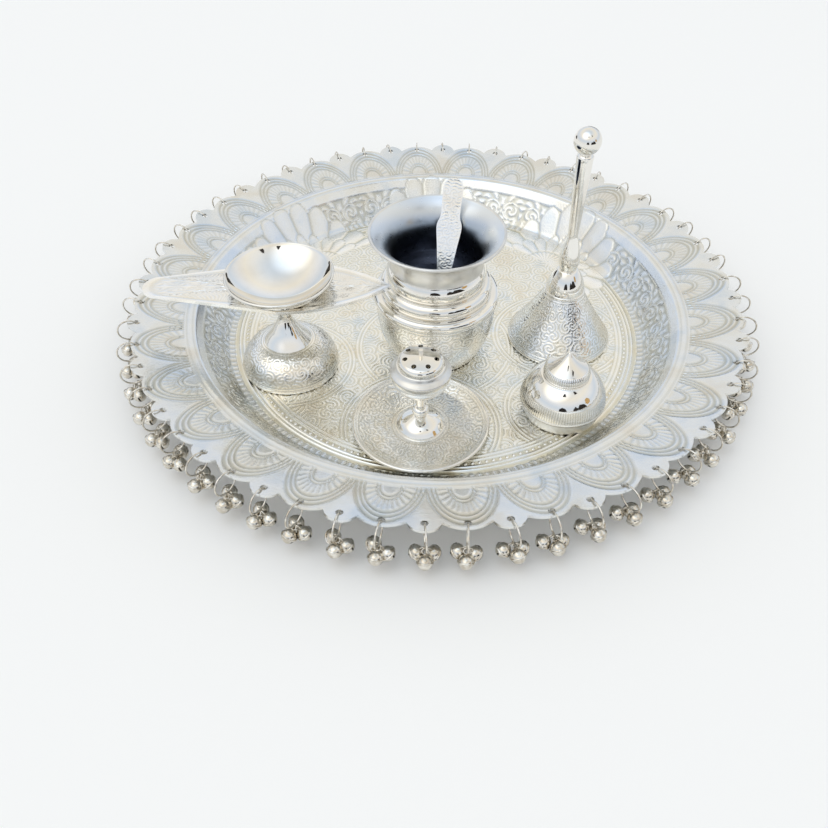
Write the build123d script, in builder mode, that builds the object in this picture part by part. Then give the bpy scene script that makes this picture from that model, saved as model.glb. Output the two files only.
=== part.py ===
"""Puja thali: a scalloped plate hung with jingle bells, and the six ritual pieces that stand in it."""

import math
import os

from build123d import *

# Shared clearances
rest_gap = 0.1
running_gap = 0.3
screw_gap = 0.05
cut_overrun = 2.0

# Thali plate: floor, wall, plain ledge and sloping rim, all one pressed sheet
plate_sheet = 1.2
plate_wall_run = 14.5
plate_ledge_width = 6.0
plate_ledge_outer_radius = 127.5
plate_ledge_height = 19.5
plate_rim_height = 25.0
plate_wall_fillet = 5.0
plate_ledge_fillet = 2.5
plate_rim_fillet = 4.0

# Scalloped edge: big and small lobes take turns, each with a hole for a drop
lobe_pairs = 28
first_small_lobe_angle = 9.94
small_lobe_lip = 4.5
small_lobe_radius = 7.2
big_lobe_lip = 2.8
big_lobe_radius = 14.0
lobe_root_width = 14.5
drop_hole_reach = 6.2
drop_hole_diameter = 3.2

# Rim drops: a wire ring through each hole, with three jingle bells on it
drop_ring_radius = 5.5
drop_ring_wire = 0.8
drop_ring_dip_angle = 35.0
jingle_radius = 3.2
jingle_wall = 0.5
jingle_seam_width = 0.7
jingle_seam_height = 0.3
jingle_slit_width = 0.8
jingle_eye_radius = 1.3
jingle_eye_wire = 0.6
jingle_eye_sink = 0.25
jingle_eye_play = 0.3
jingle_pellet_radius = 1.1
jingle_ring_angles = (0.0, 35.0, -35.0)
jingle_splay_angles = (0.0, 50.0, -50.0)

# Kalash: a water pot with three stepped rings round its shoulder and a flared mouth
kalash_x = -0.5
kalash_y = -16.0
kalash_wall = 1.2
kalash_base_radius = 21.8
kalash_belly_radius = 28.0
kalash_belly_height = 16.5
kalash_shoulder_radius = 28.6
kalash_low_step_radius = 30.5
kalash_low_step_rise = 5.2
kalash_middle_step_radius = 26.8
kalash_middle_step_rise = 6.4
kalash_high_step_radius = 23.8
kalash_high_step_rise = 8.2
kalash_step_taper = 1.4
kalash_flare_radius = 23.6
kalash_flare_height = 59.0
kalash_flare_rise = 8.4
kalash_lip_radius = 31.9
kalash_lip_rise = 7.7

# Spoon leaning in the kalash
spoon_y = -11.0
spoon_lean_angle = 30.0
spoon_side_angle = 7.2
spoon_bowl_radius = 9.0
spoon_sheet = 1.2
spoon_stem_width = 6.0
spoon_shoulder_width = 12.0
spoon_neck_width = 8.4
spoon_head_width = 9.6
spoon_taper_height = 33.0
spoon_shoulder_height = 56.5
spoon_neck_height = 63.0
spoon_length = 88.0

# Diya: a lamp bowl on a leaf, carried by a turned stem and a domed foot
diya_x = -72.8
diya_y = -29.5
diya_foot_radius = 23.8
diya_foot_edge = 1.6
diya_foot_bulge_radius = 21.6
diya_foot_bulge_height = 8.6
diya_foot_height = 15.8
diya_foot_wall = 1.2
diya_stem_radius = 11.4
diya_waist_radius = 3.2
diya_waist_height = 31.0
diya_cone_radius = 6.6
diya_cone_height = 22.5
diya_pad_radius = 6.5
diya_pad_height = 41.6
diya_collar_radius = 16.4
diya_leaf_height = 45.4
diya_leaf_sheet = 1.5
diya_bowl_belly_radius = 12.2
diya_bowl_belly_height = 43.0
diya_bowl_seat_radius = 18.4
diya_bowl_side_radius = 22.6
diya_bowl_side_height = 50.0
diya_bowl_rim_radius = 25.3
diya_bowl_height = 54.2
diya_bowl_wall = 1.0
diya_bowl_base = 1.8
diya_leaf_half_width = 19.5
diya_leaf_tip_length = 51.4
diya_leaf_handle_length = 63.8
diya_leaf_handle_half_width = 7.5

# Hand bell: shell, turned handle, staple and clapper
bell_x = 63.4
bell_y = -8.4
bell_wall = 1.6
bell_mouth_radius = 25.8
bell_lip_height = 2.0
bell_side_radius = 16.9
bell_side_height = 15.5
bell_shoulder_radius = 9.4
bell_shoulder_height = 28.6
bell_bead_radius = 10.0
bell_bead_height = 1.4
bell_dome_radius = 7.8
bell_dome_height = 36.5
bell_crown_radius = 4.6
bell_crown_height = 41.5
bell_stud_radius = 2.0
bell_collar_radius = 4.2
bell_drop_radius = 5.0
bell_drop_height = 48.0
bell_grip_radius = 2.4
bell_grip_height = 60.0
bell_grip_top_radius = 3.9
bell_grip_top_height = 100.0
bell_ball_radius = 6.1
bell_ball_height = 107.0
bell_staple_radius = 3.4
bell_staple_height = 2.6
bell_staple_loop_radius = 2.2
bell_staple_wire = 1.2
clapper_eye_radius = 1.5
clapper_eye_wire = 1.0
clapper_rod_radius = 0.9
clapper_ball_radius = 4.4
clapper_length = 24.0

# Incense stand: dish, turned stem, cup and pierced dome
incense_x = -8.4
incense_y = -74.0
incense_dish_radius = 31.6
incense_dish_height = 3.8
incense_dish_floor_radius = 25.0
incense_dish_wall = 1.2
incense_cone_radius = 11.1
incense_cone_edge = 1.0
incense_cone_top_height = 8.0
incense_stem_radius = 1.9
incense_bead_radius = 4.0
incense_bead_height = 10.6
incense_cup_radius = 13.5
incense_cup_bottom_height = 22.0
incense_cup_pad_radius = 3.4
incense_cup_side_radius = 10.8
incense_cup_side_height = 27.0
incense_cup_height = 35.0
incense_cup_band = 1.6
incense_cup_wall = 1.1
incense_mouth_radius = 10.6
incense_mouth_height = 38.0
incense_dome_radius = 10.1
incense_dome_edge = 1.2
incense_dome_crown_radius = 8.6
incense_dome_crown_height = 3.6
incense_dome_height = 4.8
incense_dome_wall = 0.9
incense_plug_height = 2.0
incense_finial_radius = 0.9
incense_finial_height = 3.0
incense_hole_count = 7
incense_hole_diameter = 2.2
incense_hole_circle_radius = 7.0

# Kumkum box and its pointed lid
kumkum_x = 57.9
kumkum_y = -63.3
kumkum_wall = 1.2
kumkum_base_radius = 17.3
kumkum_ridge_radius = 19.7
kumkum_ridge_height = 7.6
kumkum_ridge_band = 0.8
kumkum_shoulder_radius = 18.0
kumkum_shoulder_height = 15.6
kumkum_neck_radius = 11.6
kumkum_neck_height = 22.6
kumkum_mouth_radius = 9.4
kumkum_lid_radius = 10.7
kumkum_lid_edge = 4.4
kumkum_lid_cone_radius = 5.6
kumkum_lid_cone_height = 7.4
kumkum_lid_neck_radius = 1.6
kumkum_lid_neck_height = 10.8
kumkum_lid_tip_height = 13.0
kumkum_lid_wall = 1.0
kumkum_plug_height = 3.0

# Places worked out from the sizes above
seat_z = plate_sheet + rest_gap
plate_ledge_inner_radius = plate_ledge_outer_radius - plate_ledge_width
plate_floor_radius = plate_ledge_inner_radius - plate_wall_run
lobe_root_radius = plate_ledge_outer_radius + lobe_root_width
drop_hole_circle_radius = lobe_root_radius + drop_hole_reach
small_lobe_tip_radius = drop_hole_circle_radius + small_lobe_lip
big_lobe_tip_radius = drop_hole_circle_radius + big_lobe_lip
lobe_pitch = 360 / lobe_pairs
first_big_lobe_angle = first_small_lobe_angle + lobe_pitch / 2
rim_slope = (plate_rim_height - plate_ledge_height) / (small_lobe_tip_radius - plate_ledge_outer_radius)
rim_lean = math.atan(rim_slope)


def half_section(x, y, z=seat_z):
    """Upright plane through an axis: its X is the radius and its Y the height."""
    return Plane(origin=(x, y, z), x_dir=(1, 0, 0), z_dir=(0, -1, 0))


def upright(x, y):
    """Vertical axis of a turned piece."""
    return Axis((x, y, 0), (0, 0, 1))


def write(piece, name):
    """Label a finished piece and write it under its name."""
    piece.label = name
    export_step(piece, f"parts/{name}.step")


os.makedirs("parts", exist_ok=True)

# Thali plate
with BuildPart() as thali_plate:
    with BuildSketch(Plane.XZ) as plate_section:
        with BuildLine():
            FilletPolyline(
                (0, plate_sheet),
                (plate_floor_radius, plate_sheet),
                (plate_ledge_inner_radius, plate_ledge_height),
                (plate_ledge_outer_radius, plate_ledge_height),
                (small_lobe_tip_radius + cut_overrun, plate_rim_height + cut_overrun * rim_slope),
                radius=(plate_wall_fillet, plate_ledge_fillet, plate_rim_fillet),
            )
            offset(amount=plate_sheet, side=Side.RIGHT)
        make_face()
    revolve(axis=Axis.Z)
    with BuildSketch(Plane.XY) as scallop_outline:
        Circle(lobe_root_radius)
        with PolarLocations(big_lobe_tip_radius - big_lobe_radius, lobe_pairs, first_big_lobe_angle):
            Circle(big_lobe_radius)
        with PolarLocations(small_lobe_tip_radius - small_lobe_radius, lobe_pairs, first_small_lobe_angle):
            Circle(small_lobe_radius)
    extrude(amount=plate_rim_height + cut_overrun, mode=Mode.INTERSECT)
    with BuildSketch(Plane.XY) as drop_holes:
        with PolarLocations(drop_hole_circle_radius, 2 * lobe_pairs, first_small_lobe_angle):
            Circle(drop_hole_diameter / 2)
    extrude(amount=plate_rim_height + cut_overrun, mode=Mode.SUBTRACT)
write(thali_plate.part, "thali_plate")

# Jingle bell of the drops, with its eye straight above its middle
with BuildPart() as jingle_bell:
    Sphere(jingle_radius)
    Cylinder(jingle_radius + jingle_seam_height, jingle_seam_width)
    with Locations((0, 0, jingle_radius + jingle_eye_radius - jingle_eye_sink)):
        Torus(jingle_eye_radius, jingle_eye_wire / 2, rotation=(0, 90, 0))
    Sphere(jingle_radius - jingle_wall, mode=Mode.SUBTRACT)
    with Locations((0, 0, -jingle_radius)):
        Box(jingle_slit_width, 2 * jingle_radius, jingle_radius, mode=Mode.SUBTRACT)

# Loose pellet on the floor of the jingle bell
with BuildPart() as jingle_pellet:
    with Locations((0, 0, jingle_pellet_radius + running_gap + jingle_wall - jingle_radius)):
        Sphere(jingle_pellet_radius)

# Wire ring that leaves the hole outwards and dips below it, in its own upright plane
ring_dip = math.radians(drop_ring_dip_angle)
ring_middle = Vector(drop_ring_radius * math.cos(ring_dip), 0, -drop_ring_radius * math.sin(ring_dip))
with BuildPart() as drop_ring:
    with Locations(ring_middle):
        Torus(drop_ring_radius, drop_ring_wire / 2, rotation=(90, 0, 0))


def jingle_place(ring_angle, splay_angle):
    """Place of one jingle bell: how far round the ring it hangs, and how far it splays to the side."""
    along = math.radians(ring_angle)
    splay = math.radians(splay_angle)
    outward = Vector(math.sin(along), 0, -math.cos(along))
    wire_run = Vector(math.cos(along), 0, math.sin(along))
    hang = outward * math.cos(splay) + Vector(0, 1, 0) * math.sin(splay)
    drop = jingle_eye_play + jingle_eye_radius + jingle_radius - jingle_eye_sink
    middle = ring_middle + outward * drop_ring_radius + hang * drop
    return Plane(origin=middle, x_dir=wire_run, z_dir=hang * -1).location


jingle_places = [jingle_place(*angles) for angles in zip(jingle_ring_angles, jingle_splay_angles)]
drop_cluster = [drop_ring.part.solid()]
drop_cluster += [place * jingle_bell.part.solid() for place in jingle_places]
drop_cluster += [place * jingle_pellet.part.solid() for place in jingle_places]

# Rim drops: a small and a big lobe's clusters swing on the line through their two holes
hole_height = plate_ledge_height + (drop_hole_circle_radius - plate_ledge_outer_radius) * rim_slope
hole_middle_height = hole_height - plate_sheet / math.cos(rim_lean) / 2
for index in range(lobe_pairs):
    small_angle = first_small_lobe_angle + index * lobe_pitch
    facing = math.radians(small_angle + lobe_pitch / 4)
    drop_solids = []
    for hole_angle in (small_angle, small_angle + lobe_pitch / 2):
        hole_turn = math.radians(hole_angle)
        hole_place = Plane(
            origin=(
                drop_hole_circle_radius * math.cos(hole_turn),
                drop_hole_circle_radius * math.sin(hole_turn),
                hole_middle_height,
            ),
            x_dir=(math.cos(facing), math.sin(facing), 0),
            z_dir=(0, 0, 1),
        ).location
        drop_solids += [hole_place * solid for solid in drop_cluster]
    write(Compound(children=drop_solids), f"rim_drop_{index + 1:02d}")

# Kalash levels, hung from the height of its flare
kalash_lip_height = kalash_flare_height + kalash_lip_rise
kalash_neck_height = kalash_flare_height - kalash_flare_rise
kalash_high_step_height = kalash_neck_height - kalash_high_step_rise
kalash_middle_step_height = kalash_high_step_height - kalash_middle_step_rise
kalash_low_step_height = kalash_middle_step_height - kalash_low_step_rise
kalash_low_step_top = kalash_low_step_radius - kalash_step_taper
kalash_middle_step_top = kalash_middle_step_radius - kalash_step_taper
kalash_neck_radius = kalash_high_step_radius - kalash_step_taper
kalash_throat_radius = kalash_high_step_radius - kalash_wall

# Kalash body, from its base to its second step
with BuildPart() as kalash_pot:
    with BuildSketch(half_section(kalash_x, kalash_y)) as kalash_section:
        with BuildLine():
            Line((0, 0), (kalash_base_radius, 0))
            ThreePointArc(
                (kalash_base_radius, 0),
                (kalash_belly_radius, kalash_belly_height),
                (kalash_shoulder_radius, kalash_low_step_height),
            )
            Polyline(
                (kalash_shoulder_radius, kalash_low_step_height),
                (kalash_low_step_radius, kalash_low_step_height),
                (kalash_low_step_top, kalash_middle_step_height),
                (kalash_middle_step_radius, kalash_middle_step_height),
                (kalash_middle_step_top, kalash_high_step_height),
                (kalash_throat_radius, kalash_high_step_height),
                (kalash_middle_step_radius - kalash_wall, kalash_middle_step_height),
                (kalash_shoulder_radius - kalash_wall, kalash_low_step_height),
            )
            ThreePointArc(
                (kalash_shoulder_radius - kalash_wall, kalash_low_step_height),
                (kalash_belly_radius - kalash_wall, kalash_belly_height),
                (kalash_base_radius - kalash_wall, kalash_wall),
            )
            Polyline((kalash_base_radius - kalash_wall, kalash_wall), (0, kalash_wall), (0, 0))
        make_face()
    revolve(axis=upright(kalash_x, kalash_y))
write(kalash_pot.part, "kalash_pot")

# Kalash neck ring, seated on the body
with BuildPart() as kalash_neck:
    with BuildSketch(half_section(kalash_x, kalash_y)) as kalash_neck_section:
        with BuildLine():
            Polyline(
                (kalash_throat_radius, kalash_high_step_height),
                (kalash_high_step_radius, kalash_high_step_height),
                (kalash_neck_radius, kalash_neck_height),
                (kalash_neck_radius - kalash_wall, kalash_neck_height),
                (kalash_throat_radius, kalash_high_step_height),
            )
        make_face()
    revolve(axis=upright(kalash_x, kalash_y))
write(kalash_neck.part, "kalash_neck")

# Kalash mouth, flaring from the neck ring to the lip
with BuildPart() as kalash_mouth:
    with BuildSketch(half_section(kalash_x, kalash_y)) as kalash_mouth_section:
        with BuildLine():
            ThreePointArc(
                (kalash_neck_radius, kalash_neck_height),
                (kalash_flare_radius, kalash_flare_height),
                (kalash_lip_radius, kalash_lip_height),
            )
            Polyline(
                (kalash_lip_radius, kalash_lip_height),
                (kalash_lip_radius, kalash_lip_height + kalash_wall),
                (kalash_lip_radius - kalash_wall, kalash_lip_height + kalash_wall),
            )
            ThreePointArc(
                (kalash_lip_radius - kalash_wall, kalash_lip_height + kalash_wall),
                (kalash_flare_radius - kalash_wall, kalash_flare_height),
                (kalash_neck_radius - kalash_wall, kalash_neck_height),
            )
            Line(
                (kalash_neck_radius - kalash_wall, kalash_neck_height),
                (kalash_neck_radius, kalash_neck_height),
            )
        make_face()
    revolve(axis=upright(kalash_x, kalash_y))
write(kalash_mouth.part, "kalash_mouth")

# Spoon: its bowl rests on the kalash floor, and its handle leans back towards the lip
spoon_bowl_middle = Vector(
    kalash_x,
    kalash_y + spoon_y,
    seat_z + kalash_wall + running_gap + spoon_bowl_radius,
)
spoon_head_middle = spoon_length - spoon_bowl_radius - spoon_head_width / 2
spoon_lean = math.radians(spoon_lean_angle)
spoon_side = math.radians(spoon_side_angle)
spoon_run = Vector(math.tan(spoon_side), math.tan(spoon_lean), 1).normalized()
spoon_facing = Vector(1, 0, 0).cross(spoon_run).normalized()
spoon_flat = Plane(origin=spoon_bowl_middle, x_dir=spoon_run.cross(spoon_facing), z_dir=spoon_facing)
with BuildPart() as spoon:
    with BuildSketch(spoon_flat) as spoon_outline:
        with BuildLine() as spoon_edge:
            Polyline(
                (0, spoon_bowl_radius - 2 * spoon_sheet),
                (spoon_stem_width / 2, spoon_bowl_radius - 2 * spoon_sheet),
                (spoon_stem_width / 2, spoon_taper_height),
                (spoon_shoulder_width / 2, spoon_shoulder_height),
                (spoon_neck_width / 2, spoon_neck_height),
                (spoon_head_width / 2, spoon_head_middle),
            )
            CenterArc((0, spoon_head_middle), spoon_head_width / 2, 0, 90)
            mirror(about=Plane.YZ)
        make_face()
    extrude(amount=spoon_sheet / 2, both=True)
    with Locations(spoon_flat.location):
        Sphere(spoon_bowl_radius)
        Sphere(spoon_bowl_radius - spoon_sheet, mode=Mode.SUBTRACT)
        with Locations((0, 0, spoon_bowl_radius)):
            Box(
                2 * spoon_bowl_radius,
                2 * spoon_bowl_radius,
                2 * spoon_bowl_radius - spoon_sheet,
                mode=Mode.SUBTRACT,
            )
write(spoon.part, "spoon")

# Diya foot: a domed shell
with BuildPart() as diya_foot:
    with BuildSketch(half_section(diya_x, diya_y)) as diya_foot_section:
        with BuildLine():
            Polyline(
                (diya_foot_radius - diya_foot_wall, 0),
                (diya_foot_radius, 0),
                (diya_foot_radius, diya_foot_edge),
            )
            ThreePointArc(
                (diya_foot_radius, diya_foot_edge),
                (diya_foot_bulge_radius, diya_foot_bulge_height),
                (diya_stem_radius, diya_foot_height),
            )
            Polyline(
                (diya_stem_radius, diya_foot_height),
                (0, diya_foot_height),
                (0, diya_foot_height - diya_foot_wall),
                (diya_stem_radius, diya_foot_height - diya_foot_wall),
            )
            ThreePointArc(
                (diya_stem_radius, diya_foot_height - diya_foot_wall),
                (diya_foot_bulge_radius - diya_foot_wall, diya_foot_bulge_height - diya_foot_wall),
                (diya_foot_radius - diya_foot_wall, 0),
            )
        make_face()
    revolve(axis=upright(diya_x, diya_y))
write(diya_foot.part, "diya_foot")

# Diya stem: a polished cone drawn up to a thin waist and out to the bowl's pad
with BuildPart() as diya_stem:
    with BuildSketch(half_section(diya_x, diya_y)) as diya_stem_section:
        with BuildLine():
            Line((0, diya_foot_height), (diya_stem_radius, diya_foot_height))
            Spline(
                (diya_stem_radius, diya_foot_height),
                (diya_cone_radius, diya_cone_height),
                (diya_waist_radius, diya_waist_height),
                (diya_pad_radius, diya_pad_height),
            )
            Polyline((diya_pad_radius, diya_pad_height), (0, diya_pad_height), (0, diya_foot_height))
        make_face()
    revolve(axis=upright(diya_x, diya_y))
write(diya_stem.part, "diya_stem")

# Diya bowl: it drops through the leaf up to its seat
diya_leaf_top = diya_leaf_height + diya_leaf_sheet
with BuildPart() as diya_bowl:
    with BuildSketch(half_section(diya_x, diya_y)) as diya_bowl_section:
        with BuildLine():
            Line((0, diya_pad_height), (diya_pad_radius, diya_pad_height))
            ThreePointArc(
                (diya_pad_radius, diya_pad_height),
                (diya_bowl_belly_radius, diya_bowl_belly_height),
                (diya_collar_radius, diya_leaf_height),
            )
            Polyline(
                (diya_collar_radius, diya_leaf_height),
                (diya_collar_radius, diya_leaf_top),
                (diya_bowl_seat_radius, diya_leaf_top),
            )
            ThreePointArc(
                (diya_bowl_seat_radius, diya_leaf_top),
                (diya_bowl_side_radius, diya_bowl_side_height),
                (diya_bowl_rim_radius, diya_bowl_height),
            )
            Line(
                (diya_bowl_rim_radius, diya_bowl_height),
                (diya_bowl_rim_radius - diya_bowl_wall, diya_bowl_height),
            )
            ThreePointArc(
                (diya_bowl_rim_radius - diya_bowl_wall, diya_bowl_height),
                (diya_collar_radius, diya_leaf_top + diya_bowl_wall),
                (diya_pad_radius, diya_pad_height + diya_bowl_base),
            )
            Polyline(
                (diya_pad_radius, diya_pad_height + diya_bowl_base),
                (0, diya_pad_height + diya_bowl_base),
                (0, diya_pad_height),
            )
        make_face()
    revolve(axis=upright(diya_x, diya_y))
write(diya_bowl.part, "diya_bowl")

# Diya leaf: round the bowl, with a rounded handle on one side and a pointed tip on the other
leaf_end_x = -diya_leaf_handle_length
leaf_corner_x = leaf_end_x + diya_leaf_handle_half_width
with BuildPart() as diya_leaf:
    with BuildSketch(Plane((diya_x, diya_y, seat_z + diya_leaf_height))) as leaf_outline:
        with BuildLine():
            Line((leaf_corner_x, diya_leaf_handle_half_width), (0, diya_leaf_half_width))
            TangentArc((0, diya_leaf_half_width), (diya_leaf_tip_length, 0), tangent=(1, 0))
            CenterArc((leaf_corner_x, 0), diya_leaf_handle_half_width, 90, 90)
            mirror(about=Plane.XZ)
        make_face()
        Circle(diya_collar_radius + rest_gap, mode=Mode.SUBTRACT)
    extrude(amount=diya_leaf_sheet)
write(diya_leaf.part, "diya_leaf")

# Bell shell, pierced at its crown for the handle's stud
with BuildPart() as bell_shell:
    with BuildSketch(half_section(bell_x, bell_y)) as bell_section:
        with BuildLine():
            Polyline(
                (bell_mouth_radius - bell_wall, 0),
                (bell_mouth_radius, 0),
                (bell_mouth_radius, bell_lip_height),
            )
            Spline(
                (bell_mouth_radius, bell_lip_height),
                (bell_side_radius, bell_side_height),
                (bell_shoulder_radius, bell_shoulder_height),
            )
            Polyline(
                (bell_shoulder_radius, bell_shoulder_height),
                (bell_bead_radius, bell_shoulder_height),
                (bell_bead_radius, bell_shoulder_height + bell_bead_height),
                (bell_shoulder_radius, bell_shoulder_height + bell_bead_height),
            )
            ThreePointArc(
                (bell_shoulder_radius, bell_shoulder_height + bell_bead_height),
                (bell_dome_radius, bell_dome_height),
                (bell_crown_radius, bell_crown_height),
            )
            Polyline(
                (bell_crown_radius, bell_crown_height),
                (bell_stud_radius + screw_gap, bell_crown_height),
                (bell_stud_radius + screw_gap, bell_crown_height - bell_wall),
                (bell_crown_radius, bell_crown_height - bell_wall),
            )
            ThreePointArc(
                (bell_crown_radius, bell_crown_height - bell_wall),
                (bell_dome_radius - bell_wall, bell_dome_height - bell_wall),
                (bell_shoulder_radius - bell_wall, bell_shoulder_height),
            )
            Spline(
                (bell_shoulder_radius - bell_wall, bell_shoulder_height),
                (bell_side_radius - bell_wall, bell_side_height),
                (bell_mouth_radius - bell_wall, 0),
            )
        make_face()
    revolve(axis=upright(bell_x, bell_y))
write(bell_shell.part, "bell_shell")

# Bell handle: a turned grip with a ball on top and a stud through the crown
bell_stud_bottom = bell_crown_height - bell_wall - bell_staple_height
bell_ball_seat = bell_ball_height - math.sqrt(bell_ball_radius**2 - bell_grip_radius**2)
with BuildPart() as bell_handle:
    with BuildSketch(half_section(bell_x, bell_y)) as bell_handle_section:
        with BuildLine():
            Polyline(
                (0, bell_stud_bottom),
                (bell_stud_radius, bell_stud_bottom),
                (bell_stud_radius, bell_crown_height),
                (bell_collar_radius, bell_crown_height),
            )
            Spline(
                (bell_collar_radius, bell_crown_height),
                (bell_drop_radius, bell_drop_height),
                (bell_grip_radius, bell_grip_height),
            )
            Polyline(
                (bell_grip_radius, bell_grip_height),
                (bell_grip_top_radius, bell_grip_top_height),
                (bell_grip_radius, bell_ball_seat),
                (0, bell_ball_seat),
                (0, bell_stud_bottom),
            )
        make_face()
    revolve(axis=upright(bell_x, bell_y))
    with Locations((bell_x, bell_y, seat_z + bell_ball_height)):
        Sphere(bell_ball_radius)
write(bell_handle.part, "bell_handle")

# Bell staple: a nut on the stud, with a wire loop below it
staple_loop_height = bell_stud_bottom - bell_staple_loop_radius
with BuildPart() as bell_staple:
    with BuildSketch(Plane((bell_x, bell_y, seat_z + bell_stud_bottom))) as staple_nut:
        Circle(bell_staple_radius)
        Circle(bell_stud_radius + screw_gap, mode=Mode.SUBTRACT)
    extrude(amount=bell_staple_height)
    with BuildSketch(Plane((bell_x, bell_y, seat_z + bell_stud_bottom))) as staple_floor:
        Circle(bell_staple_radius)
    extrude(amount=-bell_staple_wire)
    with Locations((bell_x, bell_y, seat_z + staple_loop_height - bell_staple_wire)):
        Torus(bell_staple_loop_radius, bell_staple_wire / 2, rotation=(90, 0, 0))
write(bell_staple.part, "bell_staple")

# Bell clapper: its eye runs on the lowest part of the staple's loop
clapper_pivot_height = staple_loop_height - bell_staple_wire - bell_staple_loop_radius
clapper_plane = half_section(bell_x, bell_y, seat_z + clapper_pivot_height)
with BuildPart() as bell_clapper:
    with BuildSketch(clapper_plane) as clapper_section:
        with BuildLine():
            Polyline(
                (0, -clapper_eye_radius),
                (clapper_rod_radius, -clapper_eye_radius),
                (clapper_rod_radius, -clapper_length),
                (0, -clapper_length),
                (0, -clapper_eye_radius),
            )
        make_face()
    revolve(axis=upright(bell_x, bell_y))
    with Locations((bell_x, bell_y, seat_z + clapper_pivot_height)):
        Torus(clapper_eye_radius, clapper_eye_wire / 2, rotation=(0, 90, 0))
        with Locations((0, 0, -clapper_length)):
            Sphere(clapper_ball_radius)
write(bell_clapper.part, "bell_clapper")

# Incense dish
with BuildPart() as incense_dish:
    with BuildSketch(half_section(incense_x, incense_y)) as incense_dish_section:
        with BuildLine():
            Polyline(
                (0, 0),
                (incense_dish_floor_radius, 0),
                (incense_dish_radius, incense_dish_height - incense_dish_wall),
                (incense_dish_radius, incense_dish_height),
                (incense_dish_radius - incense_dish_wall, incense_dish_height),
                (incense_dish_floor_radius - incense_dish_wall, incense_dish_wall),
                (0, incense_dish_wall),
                (0, 0),
            )
        make_face()
    revolve(axis=upright(incense_x, incense_y))
write(incense_dish.part, "incense_dish")

# Incense stem: a polished cone, a bead and a thin rod up to the cup
with BuildPart() as incense_stem:
    with BuildSketch(half_section(incense_x, incense_y)) as incense_stem_section:
        with BuildLine():
            Polyline(
                (0, incense_dish_wall),
                (incense_cone_radius, incense_dish_wall),
                (incense_cone_radius, incense_dish_wall + incense_cone_edge),
            )
            TangentArc(
                (incense_cone_radius, incense_dish_wall + incense_cone_edge),
                (incense_stem_radius, incense_cone_top_height),
                tangent=(-1, 1),
            )
            Polyline(
                (incense_stem_radius, incense_cone_top_height),
                (incense_stem_radius, incense_cup_bottom_height),
                (0, incense_cup_bottom_height),
                (0, incense_dish_wall),
            )
        make_face()
    revolve(axis=upright(incense_x, incense_y))
    with Locations((incense_x, incense_y, seat_z + incense_bead_height)):
        Sphere(incense_bead_radius)
write(incense_stem.part, "incense_stem")

# Incense cup: a polished bowl drawn in above its band to a narrower mouth
incense_band_top = incense_cup_height + incense_cup_band
with BuildPart() as incense_cup:
    with BuildSketch(half_section(incense_x, incense_y)) as incense_cup_section:
        with BuildLine():
            Line((0, incense_cup_bottom_height), (incense_cup_pad_radius, incense_cup_bottom_height))
            ThreePointArc(
                (incense_cup_pad_radius, incense_cup_bottom_height),
                (incense_cup_side_radius, incense_cup_side_height),
                (incense_cup_radius, incense_cup_height),
            )
            Polyline(
                (incense_cup_radius, incense_cup_height),
                (incense_cup_radius, incense_band_top),
                (incense_mouth_radius, incense_mouth_height),
                (incense_mouth_radius - incense_cup_wall, incense_mouth_height),
                (incense_cup_radius - incense_cup_wall, incense_band_top - incense_cup_wall),
            )
            ThreePointArc(
                (incense_cup_radius - incense_cup_wall, incense_band_top - incense_cup_wall),
                (incense_cup_side_radius - incense_cup_wall, incense_cup_side_height + incense_cup_wall),
                (incense_cup_pad_radius - incense_cup_wall, incense_cup_bottom_height + incense_cup_wall),
            )
            Polyline(
                (incense_cup_pad_radius - incense_cup_wall, incense_cup_bottom_height + incense_cup_wall),
                (0, incense_cup_bottom_height + incense_cup_wall),
                (0, incense_cup_bottom_height),
            )
        make_face()
    revolve(axis=upright(incense_x, incense_y))
write(incense_cup.part, "incense_cup")

# Incense dome: a pierced cap with a plug that drops into the cup's mouth
incense_dome_seat = incense_mouth_height + rest_gap
incense_plug_radius = incense_mouth_radius - incense_cup_wall - running_gap
with BuildPart() as incense_dome:
    with BuildSketch(half_section(incense_x, incense_y, seat_z + incense_dome_seat)) as dome_section:
        with BuildLine():
            Polyline(
                (incense_plug_radius - incense_dome_wall, -incense_plug_height),
                (incense_plug_radius, -incense_plug_height),
                (incense_plug_radius, 0),
                (incense_dome_radius, 0),
                (incense_dome_radius, incense_dome_edge),
            )
            TangentArc(
                (incense_dome_radius, incense_dome_edge),
                (incense_dome_crown_radius, incense_dome_crown_height),
                tangent=(0, 1),
            )
            TangentArc(
                (0, incense_dome_height),
                (incense_dome_crown_radius, incense_dome_crown_height),
                tangent=(1, 0),
            )
            Line((0, incense_dome_height), (0, incense_dome_height - incense_dome_wall))
            TangentArc(
                (0, incense_dome_height - incense_dome_wall),
                (
                    incense_dome_crown_radius - incense_dome_wall,
                    incense_dome_crown_height - incense_dome_wall,
                ),
                tangent=(1, 0),
            )
            Polyline(
                (
                    incense_dome_crown_radius - incense_dome_wall,
                    incense_dome_crown_height - incense_dome_wall,
                ),
                (incense_plug_radius - incense_dome_wall, incense_dome_edge),
                (incense_plug_radius - incense_dome_wall, -incense_plug_height),
            )
        make_face()
    revolve(axis=upright(incense_x, incense_y))
    dome_ceiling = incense_dome_seat + incense_dome_height - incense_dome_wall
    with BuildSketch(Plane((incense_x, incense_y, seat_z + dome_ceiling))) as incense_finial:
        Circle(incense_finial_radius)
    extrude(amount=incense_dome_wall + incense_finial_height)
    with BuildSketch(Plane((incense_x, incense_y, seat_z + incense_dome_seat))) as stick_holes:
        with PolarLocations(incense_hole_circle_radius, incense_hole_count, 90):
            Circle(incense_hole_diameter / 2)
    extrude(amount=incense_dome_height, mode=Mode.SUBTRACT)
write(incense_dome.part, "incense_dome")

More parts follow.
